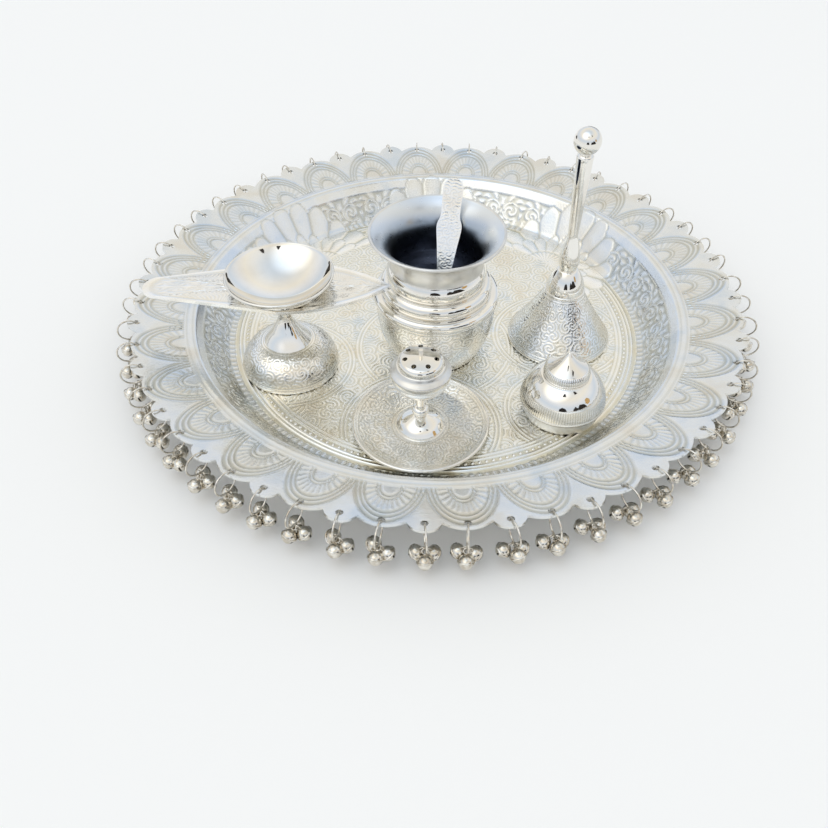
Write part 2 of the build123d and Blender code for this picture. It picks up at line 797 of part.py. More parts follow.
# Kumkum box
with BuildPart() as kumkum_box:
    with BuildSketch(half_section(kumkum_x, kumkum_y)) as kumkum_section:
        with BuildLine():
            Polyline(
                (0, 0),
                (kumkum_base_radius, 0),
                (kumkum_ridge_radius, kumkum_ridge_height),
                (kumkum_ridge_radius, kumkum_ridge_height + kumkum_ridge_band),
            )
            ThreePointArc(
                (kumkum_ridge_radius, kumkum_ridge_height + kumkum_ridge_band),
                (kumkum_shoulder_radius, kumkum_shoulder_height),
                (kumkum_neck_radius, kumkum_neck_height),
            )
            Polyline(
                (kumkum_neck_radius, kumkum_neck_height),
                (kumkum_mouth_radius, kumkum_neck_height),
                (kumkum_mouth_radius, kumkum_neck_height - 2 * kumkum_wall),
            )
            ThreePointArc(
                (kumkum_mouth_radius, kumkum_neck_height - 2 * kumkum_wall),
                (kumkum_shoulder_radius - 2 * kumkum_wall, kumkum_shoulder_height - kumkum_wall),
                (kumkum_ridge_radius - 2 * kumkum_wall, kumkum_ridge_height),
            )
            Polyline(
                (kumkum_ridge_radius - 2 * kumkum_wall, kumkum_ridge_height),
                (kumkum_base_radius - kumkum_wall, kumkum_wall),
                (0, kumkum_wall),
                (0, 0),
            )
        make_face()
    revolve(axis=upright(kumkum_x, kumkum_y))
write(kumkum_box.part, "kumkum_box")

# Kumkum lid: a broad edge and a hollow cone drawn up to a point, with a plug in the box's mouth
kumkum_lid_seat = kumkum_neck_height + rest_gap
kumkum_plug_radius = kumkum_mouth_radius - running_gap
with BuildPart() as kumkum_lid:
    with BuildSketch(half_section(kumkum_x, kumkum_y, seat_z + kumkum_lid_seat)) as kumkum_lid_section:
        with BuildLine():
            Polyline(
                (kumkum_plug_radius - kumkum_lid_wall, -kumkum_plug_height),
                (kumkum_plug_radius, -kumkum_plug_height),
                (kumkum_plug_radius, 0),
                (kumkum_lid_radius, 0),
                (kumkum_lid_radius, kumkum_lid_edge),
            )
            ThreePointArc(
                (kumkum_lid_radius, kumkum_lid_edge),
                (kumkum_lid_cone_radius, kumkum_lid_cone_height),
                (kumkum_lid_neck_radius, kumkum_lid_neck_height),
            )
            Polyline(
                (kumkum_lid_neck_radius, kumkum_lid_neck_height),
                (0, kumkum_lid_tip_height),
                (0, kumkum_lid_edge),
                (kumkum_plug_radius - kumkum_lid_wall, kumkum_lid_edge),
                (kumkum_plug_radius - kumkum_lid_wall, -kumkum_plug_height),
            )
        make_face()
    revolve(axis=upright(kumkum_x, kumkum_y))
write(kumkum_lid.part, "kumkum_lid")
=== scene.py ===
"""Dresses the puja thali: embossed plate, jingling rim drops and the ritual vessels, all in silver plate."""

import math

import bpy
import numpy as np
from mathutils import Matrix, Vector


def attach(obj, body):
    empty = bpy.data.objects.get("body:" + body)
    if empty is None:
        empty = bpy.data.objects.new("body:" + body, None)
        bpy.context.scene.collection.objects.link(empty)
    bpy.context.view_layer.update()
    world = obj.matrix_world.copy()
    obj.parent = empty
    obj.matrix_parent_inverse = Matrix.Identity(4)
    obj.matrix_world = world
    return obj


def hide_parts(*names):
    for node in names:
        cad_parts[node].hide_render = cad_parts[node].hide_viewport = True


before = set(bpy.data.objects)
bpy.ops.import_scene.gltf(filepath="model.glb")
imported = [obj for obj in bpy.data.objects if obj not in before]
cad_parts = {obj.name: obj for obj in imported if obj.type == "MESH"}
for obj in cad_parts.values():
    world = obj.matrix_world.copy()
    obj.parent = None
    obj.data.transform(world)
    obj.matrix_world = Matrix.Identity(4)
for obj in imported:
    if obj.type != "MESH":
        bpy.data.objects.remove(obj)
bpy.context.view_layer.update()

# Every size below is in millimetres unless its name says otherwise
METRES_PER_MM = 0.001
TAU = 2 * math.pi

# Plate, as the solid has it
plate_sheet = 1.2
floor_radius = 107.0
ledge_inner_radius = 121.5
ledge_outer_radius = 127.5
ledge_height = 19.5
rim_height = 25.0
wall_fillet = 5.0
ledge_fillet = 2.5
rim_fillet = 4.0
lobe_pairs = 28
lobe_pitch = TAU / lobe_pairs
first_small_lobe = math.radians(9.94)
first_big_lobe = first_small_lobe + lobe_pitch / 2
small_lobe_tip = 152.7
small_lobe_radius = 7.2
big_lobe_tip = 151.0
big_lobe_radius = 14.0
lobe_root = 142.0
hole_circle = 148.2
hole_radius = 1.6
hole_height = 23.404

# Plate relief, pressed down from the sheet's upper face: a fade is the width over which an edge softens
relief_depth = 0.38
relief_tone_share = 0.72
under_tone_share = 0.7
floor_seam = 66.0
floor_flat = 104.4
lobe_seam = 143.5

# Palmettes on the rim: shares are of the way from a palmette's foot to its outline
palmette_base = 126.6
palmette_half_width = 12.8
palmette_height = 20.0
palmette_flutes = 13
flute_floor_share = 0.25
heart_share = 0.34
heart_rise_share = 0.85
heart_line_share = 0.4
heart_line_width = 1.1
petal_start_share = 0.44
petal_end_share = 0.83
petal_start_fade_share = 0.05
petal_end_fade_share = 0.06
inner_line_share = 0.9
inner_line_width = 1.3
outer_line_share = 1.03
outer_line_width = 1.4
tongue_share = 1.1
tongue_rise_share = 0.95
tongue_fade_share = 0.08

# Wall: pairs of curled leaves, each with a stalk, a feathered outside and a curl inside, over small leaflets
leaf_pair_reach = 6.1
leaf_pair_rise = 12.2
stalk_reach = 4.9
stalk_width = 1.6
stalk_half_turn = 2.6
stalk_fade_turn = 0.5
feather_count = 9
feather_turn_per_mm = 0.8
feather_start = 5.6
feather_start_fade = 0.6
feather_end = 9.8
feather_end_fade = 1.2
curl_turn_per_mm = 1.9
curl_end = 4.2
curl_fade = 0.5
leaflets_per_lobe_pair = 7
leaflet_rise = 4.4
leaflet_fade = 0.8
leaflet_gap_fade = 0.6
plain_wall_rise = 21.0
plain_wall_fade = 1.2
wall_foot_fade = 0.5
ledge_edge_reach = 1.2
ledge_edge_fade = 0.8
ledge_groove_radii = (122.4, 125.4)
ledge_groove_width = 1.0

# Floor: scrolls, double lines round the vessels' places, and a ringed border
scroll_pitch = 1.9
scroll_spacing = 8.6
scroll_rise_share = 0.85
border_ring_radii = (94.5, 96.4, 100.1, 102.0)
border_inner_ring = 93.5
ring_line_width = 1.5
ring_line_gap = 1.9
ring_band_share = 1.1

# Half-open lotuses behind the vessels, running from the floor up the wall: shares are of a lotus's reach
lotus_reach = 38.0
lotus_fans = [
    ((0.0, 86.0), math.radians(90)),
    ((-63.5, 58.0), math.radians(138)),
    ((64.5, 57.0), math.radians(41)),
]
lotus_half_turn = 1.75
lotus_petal_turn = math.radians(20)
lotus_row_shares = ((0.52, 1.0, 0.0), (0.30, 0.68, 0.5))
lotus_tip_share = 0.12
lotus_dome_share = 0.4
lotus_gap_share = 0.22
lotus_heart_share = 0.3
lotus_ribs = 24
lotus_rib_floor_share = 0.4
lotus_outline = 1.3

# Places of the vessels, and the height that they stand at
seat = 1.3
kalash_place = (-0.5, -16.0)
diya_place = (-72.8, -29.5)
bell_place = (63.4, -8.4)
incense_place = (-8.4, -74.0)
kumkum_place = (57.9, -63.3)

# Camera, at the photograph's place
camera_place = (-11.4, -339.2, 274.5)
camera_pitch = math.radians(45.06)
camera_roll = -0.003
camera_lens = 35.66
camera_sensor = 36.0
camera_clip_m = 0.01


def linear(code):
    """An sRGB hex colour as the linear colour that a shader takes."""
    shares = [int(code[i : i + 2], 16) / 255 for i in (1, 3, 5)]
    return [c / 12.92 if c <= 0.04045 else ((c + 0.055) / 1.055) ** 2.4 for c in shares] + [1.0]


def node(tree, kind, sockets=None, **settings):
    """Add a node, set its properties, and give its inputs values or links."""
    made = tree.nodes.new(kind)
    for key, value in settings.items():
        setattr(made, key, value)
    for key, value in (sockets or {}).items():
        if isinstance(value, bpy.types.NodeSocket):
            tree.links.new(value, made.inputs[key])
        else:
            made.inputs[key].default_value = value
    return made


def geo(tree, kind, sockets=None, **settings):
    """Add a node, as node() does, and give back its first output."""
    return node(tree, kind, sockets, **settings).outputs[0]


def worked(tree, operation, *values):
    """A sum on some values, as a node of the tree."""
    return geo(tree, "ShaderNodeMath", dict(enumerate(values)), operation=operation)


def ramp(tree, share, stops):
    """Colours along a share, with their stops as places and hex colours."""
    made = node(tree, "ShaderNodeValToRGB", {"Fac": share})
    elements = made.color_ramp.elements
    while len(elements) < len(stops):
        elements.new(0.5)
    for element, (place, code) in zip(elements, stops):
        element.position = place
        element.color = linear(code)
    return made.outputs["Color"]


def noise(tree, place, size, detail):
    """Noise with features of one size in millimetres."""
    sockets = {"Vector": place, "Scale": 1 / (size * METRES_PER_MM), "Detail": detail}
    return node(tree, "ShaderNodeTexNoise", sockets).outputs["Fac"]


def spanned(tree, share, low, high):
    """A share from none to one, spread between two values."""
    return node(tree, "ShaderNodeMapRange", {"Value": share, "To Min": low, "To Max": high}).outputs["Result"]


def shader(name):
    """A new material with an empty tree but for its shader and output."""
    material = bpy.data.materials.new(name)
    material.use_nodes = True
    tree = material.node_tree
    tree.nodes.clear()
    metal = node(tree, "ShaderNodeBsdfPrincipled", {"Metallic": 1.0})
    node(tree, "ShaderNodeOutputMaterial", {"Surface": metal.outputs["BSDF"]})
    place = node(tree, "ShaderNodeTexCoord").outputs["Object"]
    return material, tree, metal, place


# Painted reflection: large patches of peach and pale blue in the base colour, standing for a warm building
# and the blue sky seen in the silver; and fine grain on the pressed and the engraved silver
reflection_patch_size = 17.0
reflection_patch_share = 0.42
grain_size = 1.1
grain_height_m = 0.0002
grain_share = 0.3
reflection_patch_stops = [(0.33, "#F3E6D0"), (0.44, "#FCF8EE"), (0.52, "#FFFFFF"), (0.6, "#F0F5FC"), (0.69, "#D3E4F8")]


def embossed_silver(name, hollow, middle, crest, hollow_rough, crest_rough):
    """Silver plate over pressed brass: hollows painted darker and khaki, partly toning and partly painted
    shade, crests painted whiter as a painted highlight, and faint patches of peach and pale blue as painted
    reflection.
    """
    material, tree, metal, place = shader(name)
    tone = node(tree, "ShaderNodeAttribute", attribute_name="tone").outputs["Fac"]
    # Painted shade and highlight: the relief's hollows take the darker khaki, partly toning and partly shade,
    # and its crests take the whiter colour
    colour = ramp(tree, tone, [(0.0, hollow), (0.5, middle), (1.0, crest)])
    # Painted reflection: noise patches of peach and pale blue multiplied into the base colour
    reflection_tint = ramp(tree, noise(tree, place, reflection_patch_size, detail=3.0), reflection_patch_stops)
    mixed = node(tree, "ShaderNodeMix", {"Factor": reflection_patch_share}, data_type="RGBA", blend_type="MULTIPLY")
    tree.links.new(colour, mixed.inputs["A"])
    tree.links.new(reflection_tint, mixed.inputs["B"])
    tree.links.new(mixed.outputs["Result"], metal.inputs["Base Color"])
    tree.links.new(spanned(tree, tone, hollow_rough, crest_rough), metal.inputs["Roughness"])
    grain = noise(tree, place, grain_size, detail=2.0)
    grains = {"Strength": grain_share, "Distance": grain_height_m, "Height": grain}
    tree.links.new(node(tree, "ShaderNodeBump", grains).outputs["Normal"], metal.inputs["Normal"])
    return material


def smooth_silver(name, light, dark, rough_low, rough_high, smear):
    """Turned and buffed silver plate: a mirror or satin gloss with faint hand marks."""
    material, tree, metal, place = shader(name)
    marks = noise(tree, place, smear, detail=4.0)
    tree.links.new(ramp(tree, marks, [(0.35, dark), (0.65, light)]), metal.inputs["Base Color"])
    tree.links.new(spanned(tree, marks, rough_low, rough_high), metal.inputs["Roughness"])
    return material


# Pressed floor: crests painted white as a painted highlight, hollows painted khaki, partly toning and partly
# painted shade, and the whole drifts between peach and blue as painted reflection
pressed_silver = embossed_silver(
    "pressed_silver_plate", "#CDC6A8", "#F1EFE6", "#FFFEFB", hollow_rough=0.34, crest_rough=0.2
)
# Pressed wall and rim: the floor's silver painted darker as painted shade, which holds down the light that
# the rim and wall reflect; neutral grey crests over darker hollows
rim_silver = embossed_silver(
    "rim_shaded_silver_plate", "#B5B3A4", "#DADBD8", "#EBEDEE", hollow_rough=0.34, crest_rough=0.22
)
# Hand-engraved vessels: finer and brighter, with the same silver
engraved_silver = embossed_silver(
    "engraved_silver_plate", "#C9C4B4", "#EFEDE7", "#FFFEFC", hollow_rough=0.28, crest_rough=0.15
)
# Turned and mirror-buffed faces: they show the room sharply
mirror_silver = smooth_silver(
    "mirror_buffed_silver_plate", "#F6F4EF", "#ECE8E0", rough_low=0.03, rough_high=0.07, smear=18
)
# Faces left with the lathe's satin: a broad, quiet sheen
satin_silver = smooth_silver(
    "lathe_satin_silver_plate", "#EDECE9", "#DEDCD7", rough_low=0.27, rough_high=0.36, smear=9
)
# Small tumbled bells, a little warmer and toned in patches
antique_silver = smooth_silver(
    "tumbled_silver_plate", "#F3EFE6", "#CBC2B2", rough_low=0.1, rough_high=0.22, smear=2.2
)

# The bells' slit, drawn dark where each bell's own coordinates say it is cut: painted shade of the hollow
# inside, in place of an opening
slit_half_width = 0.4
slit_top = -0.6
bells_tree = antique_silver.node_tree
bells_metal = next(part for part in bells_tree.nodes if part.type == "BSDF_PRINCIPLED")
bell_colour = bells_metal.inputs["Base Color"].links[0].from_socket
bell_spot = node(bells_tree, "ShaderNodeAttribute", attribute_name="bell_spot").outputs["Vector"]
bell_sides = node(bells_tree, "ShaderNodeSeparateXYZ", {"Vector": bell_spot}).outputs
aside = worked(bells_tree, "ABSOLUTE", bell_sides["X"])
near = worked(bells_tree, "LESS_THAN", aside, slit_half_width * METRES_PER_MM)
low = worked(bells_tree, "LESS_THAN", bell_sides["Z"], slit_top * METRES_PER_MM)
cut = worked(bells_tree, "MULTIPLY", near, low)
# Painted shade: the slit's dark colour laid over the bell's own colour
slit_shade = node(bells_tree, "ShaderNodeMix", {"Factor": cut, "B": linear("#2E2820")}, data_type="RGBA")
bells_tree.links.new(bell_colour, slit_shade.inputs["A"])
bells_tree.links.new(slit_shade.outputs["Result"], bells_metal.inputs["Base Color"])

# Inside of the kalash: spun and left unbuffed to a satin; its colour is painted shade by height, pale at the
# lip, dark in the throat and greyer below it
inside_low = 37.0
inside_high = 68.0
inside_grain = 3.0
inside_rough_shares = (0.24, 0.34)
inside_shade_stops = [(0.0, "#A3A8B4"), (0.42, "#5A5E69"), (0.6, "#686F79"), (0.78, "#B9C1CA"), (1.0, "#E4E8EC")]
inside_silver, inside_tree, inside_metal, inside_place = shader("kalash_inside_shaded_silver_plate")
inside_rise = node(inside_tree, "ShaderNodeSeparateXYZ", {"Vector": inside_place}).outputs["Z"]
inside_span = {"From Min": inside_low * METRES_PER_MM, "From Max": inside_high * METRES_PER_MM}
inside_span["Value"] = inside_rise
inside_share = node(inside_tree, "ShaderNodeMapRange", inside_span).outputs["Result"]
# Painted shade: the inside darkens by height towards the throat
inside_tree.links.new(ramp(inside_tree, inside_share, inside_shade_stops), inside_metal.inputs["Base Color"])
inside_marks = noise(inside_tree, inside_place, inside_grain, detail=2.0)
inside_rough = spanned(inside_tree, inside_marks, *inside_rough_shares)
inside_tree.links.new(inside_rough, inside_metal.inputs["Roughness"])


def carried(name, mesh, body, nodes):
    """A mesh as a piece in the shared frame that rides on its body."""
    made = bpy.data.objects.new(name, mesh)
    bpy.context.scene.collection.objects.link(made)
    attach(made, body)
    if nodes:
        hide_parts(*nodes)
    return made


crease = math.radians(50)


def finished(name, points, faces, materials, body, nodes, tone, finish_index=None):
    """A piece from points and faces: smooth but for its creases, with a tone at each point."""
    mesh = bpy.data.meshes.new(name)
    mesh.from_pydata((np.asarray(points) * METRES_PER_MM).tolist(), [], faces)
    mesh.validate()
    tones = mesh.attributes.new("tone", "FLOAT", "POINT").data
    tones.foreach_set("value", np.asarray(tone, dtype=np.float32))
    for material in materials:
        mesh.materials.append(material)
    if finish_index is not None:
        mesh.polygons.foreach_set("material_index", np.asarray(finish_index, dtype=np.int32))
    mesh.shade_smooth()
    mesh.set_sharp_from_angle(angle=crease)
    mesh.update()
    return carried(name, mesh, body, nodes)


def ease(share):
    """Smooth step from none to one."""
    share = np.clip(share, 0, 1)
    return share * share * (3 - 2 * share)


def wave(turn):
    """Soft wave between none and one."""
    return 0.5 + 0.5 * np.cos(turn)


def ridge(distance, width):
    """Rounded ridge along a line: one on the line, none beyond half its width."""
    share = np.clip(np.abs(distance) * 2 / width, 0, 1)
    return (1 - share**2) ** 2


def filleted(corners, arc_steps=6):
    """Outline through corners of radius, height and fillet, with each corner rounded by its fillet."""
    points = [np.array(corners[0][:2], dtype=float)]
    for before, corner, after in zip(corners, corners[1:], corners[2:]):
        middle = np.array(corner[:2], dtype=float)
        fillet = corner[2]
        back = np.array(before[:2]) - middle
        ahead = np.array(after[:2]) - middle
        back /= np.linalg.norm(back)
        ahead /= np.linalg.norm(ahead)
        half = math.acos(np.clip(back @ ahead, -1, 1)) / 2
        bisector = (back + ahead) / np.linalg.norm(back + ahead)
        centre = middle + bisector * fillet / math.sin(half)
        start = middle + back * fillet / math.tan(half) - centre
        end = middle + ahead * fillet / math.tan(half) - centre
        sweep = math.acos(np.clip(start @ end / fillet**2, -1, 1))
        for step in range(arc_steps + 1):
            share = step / arc_steps
            along = start * math.sin((1 - share) * sweep) + end * math.sin(share * sweep)
            points.append(centre + along / math.sin(sweep))
    points.append(np.array(corners[-1][:2], dtype=float))
    return np.array(points)


def bow(start, middle, end, steps=20):
    """Circular arc through three points of an outline."""
    (ax, ay), (bx, by), (cx, cy) = start, middle, end
    d = 2 * (ax * (by - cy) + bx * (cy - ay) + cx * (ay - by))
    ux = ((ax**2 + ay**2) * (by - cy) + (bx**2 + by**2) * (cy - ay) + (cx**2 + cy**2) * (ay - by)) / d
    uy = ((ax**2 + ay**2) * (cx - bx) + (bx**2 + by**2) * (ax - cx) + (cx**2 + cy**2) * (bx - ax)) / d
    turns = [math.atan2(y - uy, x - ux) for x, y in (start, middle, end)]
    sweep = (turns[2] - turns[0]) % TAU
    if (turns[1] - turns[0]) % TAU > sweep:
        sweep -= TAU
    radius = math.hypot(ax - ux, ay - uy)
    angles = turns[0] + np.linspace(0, sweep, steps + 1)
    return np.column_stack([ux + radius * np.cos(angles), uy + radius * np.sin(angles)])


def glide(points, steps=10):
    """Smooth curve through the points of an outline."""
    points = np.array(points, dtype=float)
    padded = np.vstack([2 * points[0] - points[1], points, 2 * points[-1] - points[-2]])
    curve = [points[0]]
    for a, b, c, d in zip(padded, padded[1:], padded[2:], padded[3:]):
        for share in np.linspace(0, 1, steps + 1)[1:]:
            curve.append(
                0.5 * (2 * b + (c - a) * share + (2 * a - 5 * b + 4 * c - d) * share**2)
                + 0.5 * (3 * b - a - 3 * c + d) * share**3
            )
    return np.array(curve)


def run_along(points):
    """How far along an outline each of its points lies."""
    return np.concatenate([[0], np.cumsum(np.hypot(*np.diff(points, axis=0).T))])


def divided(points, spacing):
    """An outline with its runs divided to a spacing, its corners kept."""
    points = np.asarray(points, dtype=float)
    out = [points[:1]]
    for start, end in zip(points, points[1:]):
        parts = max(1, math.ceil(np.linalg.norm(end - start) / spacing))
        out.append(start + (end - start) * np.linspace(0, 1, parts + 1)[1:, None])
    return np.vstack(out)


def quads(*corners):
    """Faces of four corners each, from four columns of point numbers."""
    return np.column_stack(corners).tolist()


places_at_once = 8192


def scrolls(across, along, seeds, hands, pitch):
    """Chased scrollwork: each place curls round the seed nearest to it."""
    nearest = np.empty(across.shape, dtype=int)
    for part in range(0, len(across), places_at_once):
        batch = slice(part, part + places_at_once)
        gap = (across[batch, None] - seeds[:, 0]) ** 2
        gap += (along[batch, None] - seeds[:, 1]) ** 2
        nearest[batch] = gap.argmin(axis=1)
    out_across = across - seeds[nearest, 0]
    out_along = along - seeds[nearest, 1]
    reach = np.hypot(out_across, out_along)
    turn = np.arctan2(out_along, out_across)
    return wave(2 * turn * hands[nearest] + TAU * reach / pitch)


scroll_stray_share = 0.34
scroll_start_share = 0.25


def scroll_seeds(low, high, spacing, seed, period=None):
    """Jittered places for scrolls over a field, repeated past its seam where it goes round."""
    random = np.random.default_rng(seed)
    seeds = []
    rows = max(1, round((high[1] - low[1]) / spacing))
    columns = max(1, round((high[0] - low[0]) / spacing))
    for row in range(rows):
        for column in range(columns):
            shift = 0.5 * (row % 2)
            spot = np.array([(column + scroll_start_share + shift) / columns, (row + 0.5) / rows])
            spot += random.uniform(-scroll_stray_share, scroll_stray_share, 2) / (columns, rows)
            seeds.append(np.array(low) + spot * (np.array(high) - low))
    seeds = np.array(seeds)
    hands = np.where(random.random(len(seeds)) < 0.5, -1.0, 1.0)
    if period:
        seeds = np.vstack([seeds, seeds + (period, 0), seeds - (period, 0)])
        hands = np.tile(hands, 3)
    return seeds, hands


# Upper face of the plate, from the middle of its floor to past its edge
rim_slope = (rim_height - ledge_height) / (small_lobe_tip - ledge_outer_radius)
plate_line = filleted(
    [
        (0, plate_sheet),
        (floor_radius, plate_sheet, wall_fillet),
        (ledge_inner_radius, ledge_height, ledge_fillet),
        (ledge_outer_radius, ledge_height, rim_fillet),
        (small_lobe_tip + rim_fillet, rim_height + rim_fillet * rim_slope),
    ]
)


def plate_rise(radii):
    """Height of the plate's upper face at some radii."""
    return np.interp(radii, plate_line[:, 0], plate_line[:, 1])


def lobe_turn(angle, first):
    """Turn from the middle of the nearest lobe of one kind, given where the first of them is."""
    return (angle - first + lobe_pitch / 2) % lobe_pitch - lobe_pitch / 2


def edge_radius(angle):
    """Radius of the scalloped edge at an angle."""
    edge = np.full(np.shape(angle), lobe_root)
    big = (first_big_lobe, big_lobe_tip, big_lobe_radius)
    small = (first_small_lobe, small_lobe_tip, small_lobe_radius)
    for first, tip, lobe in (big, small):
        turn = lobe_turn(angle, first)
        middle = tip - lobe
        inside = lobe**2 - (middle * np.sin(turn)) ** 2
        reach = middle * np.cos(turn) + np.sqrt(np.maximum(inside, 0))
        edge = np.where(inside > 0, np.maximum(edge, reach), edge)
    return edge


def rim_relief(angle, radius):
    """Palmettes on the big lobes, with plain tongues between them."""
    across = lobe_turn(angle, first_big_lobe) * radius / palmette_half_width
    up = (radius - palmette_base) / palmette_height
    share = np.hypot(across, up)
    fan = np.arctan2(up, across)
    wide = (palmette_half_width + palmette_height) / 2
    flutes = np.sqrt(0.5 - 0.5 * np.cos(2 * palmette_flutes * fan))
    flutes = flute_floor_share + (1 - flute_floor_share) * flutes
    petals = flutes * ease((share - petal_start_share) / petal_start_fade_share)
    petals = petals * ease((petal_end_share - share) / petal_end_fade_share)
    heart = heart_rise_share * ease((heart_share - share) / petal_end_fade_share)
    heart = heart + ridge((share - heart_line_share) * wide, heart_line_width)
    outlines = ridge((share - inner_line_share) * wide, inner_line_width)
    outlines = outlines + ridge((share - outer_line_share) * wide, outer_line_width)
    tongue = tongue_rise_share * ease((share - tongue_share) / tongue_fade_share)
    relief = np.maximum.reduce([petals, heart, outlines, tongue])
    return np.where(up > 0, relief, np.maximum(relief, ease(-up * palmette_height)))


def wall_relief(angle, rise):
    """Pairs of curled leaves up the wall, over a row of small upright leaflets and under a plain band."""
    across = lobe_turn(angle, first_big_lobe) * (floor_radius + ledge_inner_radius) / 2
    up = rise - leaf_pair_rise
    relief = np.zeros(np.shape(across))
    for side in (-1, 1):
        aside = across - side * leaf_pair_reach
        reach = np.hypot(aside, up)
        swing = np.arctan2(up, -side * aside)
        stalk = ridge(reach - stalk_reach, stalk_width)
        stalk = stalk * ease((stalk_half_turn - np.abs(swing)) / stalk_fade_turn)
        feather = wave(feather_count * swing - feather_turn_per_mm * reach)
        feather = feather * ease((reach - feather_start) / feather_start_fade)
        feather = feather * ease((feather_end - reach) / feather_end_fade)
        curl = wave(2 * swing + curl_turn_per_mm * reach) * ease((curl_end - reach) / curl_fade)
        relief = np.where(side * across > 0, np.maximum.reduce([stalk, feather, curl]), relief)
    relief = np.maximum(relief, ease((rise - plain_wall_rise) / plain_wall_fade))
    leaflets = wave(angle * lobe_pairs * leaflets_per_lobe_pair) * ease((leaflet_rise - rise) / leaflet_fade)
    return np.where(rise < leaflet_rise, leaflets, relief * ease((rise - leaflet_rise) / leaflet_gap_fade))


def lotus_place(x, y, fan):
    """Where a place lies on a lotus: the share of its reach, and the turn from its middle petal."""
    (fan_x, fan_y), facing = fan
    reach = np.hypot(x - fan_x, y - fan_y) / lotus_reach
    turn = (np.arctan2(y - fan_y, x - fan_x) - facing + math.pi) % TAU - math.pi
    return reach, turn


def lotus_relief(x, y, relief):
    """Big half-open lotuses laid over other relief: two rows of domed petals round a ribbed heart."""
    for fan in lotus_fans:
        reach, turn = lotus_place(x, y, fan)
        facing_in = np.abs(turn) < lotus_half_turn
        for inner, outer, shift in lotus_row_shares:
            place = turn / lotus_petal_turn + shift
            aside = 2 * np.abs(place - np.round(place))
            tip = outer - lotus_tip_share * aside**2
            petal = (1 - lotus_dome_share * aside**2) * ease((1 - aside) / lotus_gap_share)
            petal = petal * ease((tip - reach) * lotus_reach / lotus_outline)
            relief = np.where(facing_in & (reach < tip) & (reach > inner), petal, relief)
        ribs = lotus_rib_floor_share + (1 - lotus_rib_floor_share) * wave(turn * lotus_ribs)
        heart = ribs * ease((lotus_heart_share - reach) * lotus_reach / lotus_outline)
        relief = np.where(facing_in & (reach < lotus_heart_share), heart, relief)
    return relief


# Double lines round the vessels: place and radius
vessel_rings = [
    (kalash_place, 38.0),
    (diya_place, 29.5),
    (bell_place, 31.5),
    (incense_place, 35.0),
    (kumkum_place, 24.5),
]
field_low = (-floor_radius, -floor_radius)
field_high = (floor_radius, floor_radius)
floor_seeds, floor_hands = scroll_seeds(field_low, field_high, scroll_spacing, seed=5)


def floor_relief(angle, radius):
    """Scrolls, rings round the vessels' places, the ringed border and the lotuses over them."""
    x = (radius * np.cos(angle)).ravel()
    y = (radius * np.sin(angle)).ravel()
    reach = radius.ravel()
    relief = scroll_rise_share * scrolls(x, y, floor_seeds, floor_hands, scroll_pitch)
    for (ring_x, ring_y), ring in vessel_rings:
        gap = np.hypot(x - ring_x, y - ring_y) - ring
        lines = ridge(gap, ring_line_width) + ridge(gap - ring_line_gap, ring_line_width)
        banded = np.abs(gap - ring_line_gap / 2) < ring_line_gap * ring_band_share
        relief = np.where(banded, np.minimum(lines, 1), relief)
    lines = sum(ridge(reach - line, ring_line_width) for line in border_ring_radii)
    relief = np.where((reach > border_inner_ring) & (reach < floor_flat), np.minimum(lines, 1), relief)
    return lotus_relief(x, y, relief).reshape(radius.shape)


def wall_ring_relief(angle, radius):
    """Relief of the wall and of the ledge, with its two pressed lines, where the palmettes begin."""
    slant = math.hypot(ledge_height - plate_sheet, ledge_inner_radius - floor_radius)
    rise = (radius - floor_flat) * slant / (ledge_inner_radius - floor_radius)
    relief = wall_relief(angle, rise)
    top = ease((radius - ledge_inner_radius + ledge_edge_reach) / ledge_edge_fade)
    relief = np.maximum(relief, top)
    for groove in ledge_groove_radii:
        relief = relief - ridge(radius - groove, ledge_groove_width)
    relief = lotus_relief(radius * np.cos(angle), radius * np.sin(angle), np.maximum(relief, 0))
    relief = np.where(radius > palmette_base, rim_relief(angle, radius), relief)
    return relief * ease((radius - floor_flat) / wall_foot_fade)


def drilled(upper, lower):
    """Snap the points round each drop's hole to a circle, and tell which faces of the grid are kept."""
    rings, columns = upper.shape[:2]
    keep = np.ones((rings - 1, columns), dtype=bool)
    for spot in first_small_lobe + np.arange(2 * lobe_pairs) * lobe_pitch / 2:
        middle = np.array([math.cos(spot), math.sin(spot)]) * hole_circle
        flat = upper[..., :2] - middle
        centre = (flat[:-1] + flat[1:]) / 2
        centre = (centre + np.roll(centre, -1, axis=1)) / 2
        inside = np.hypot(centre[..., 0], centre[..., 1]) < hole_radius
        keep &= ~inside
        touched = np.zeros((rings, columns), dtype=int)
        for row in (slice(0, -1), slice(1, None)):
            for column in (0, 1):
                touched[row] += np.roll(inside, column, axis=1)
        rim = (touched > 0) & (touched < 4)
        away = flat[rim]
        snapped = away * (hole_radius / np.hypot(away[:, 0], away[:, 1]))[:, None] + middle
        upper[rim, :2] = snapped
        lower[rim, :2] = snapped
    return keep


def hole_walls(keep, base):
    """Faces of the holes' walls, between the upper points and the lower ones that start at base."""
    columns = keep.shape[1]
    faces = []
    for ring, column in np.argwhere(~keep):
        after = (column + 1) % columns
        sides = (
            (keep[ring - 1, column], (ring, column), (ring, after)),
            (keep[ring + 1, column], (ring + 1, after), (ring + 1, column)),
            (keep[ring, column - 1], (ring + 1, column), (ring, column)),
            (keep[ring, after], (ring, after), (ring + 1, after)),
        )
        for open_side, (r0, c0), (r1, c1) in sides:
            if open_side:
                first = r0 * columns + c0
                second = r1 * columns + c1
                faces.append([first, second, base + second, base + first])
    return faces


slope_step = 0.05


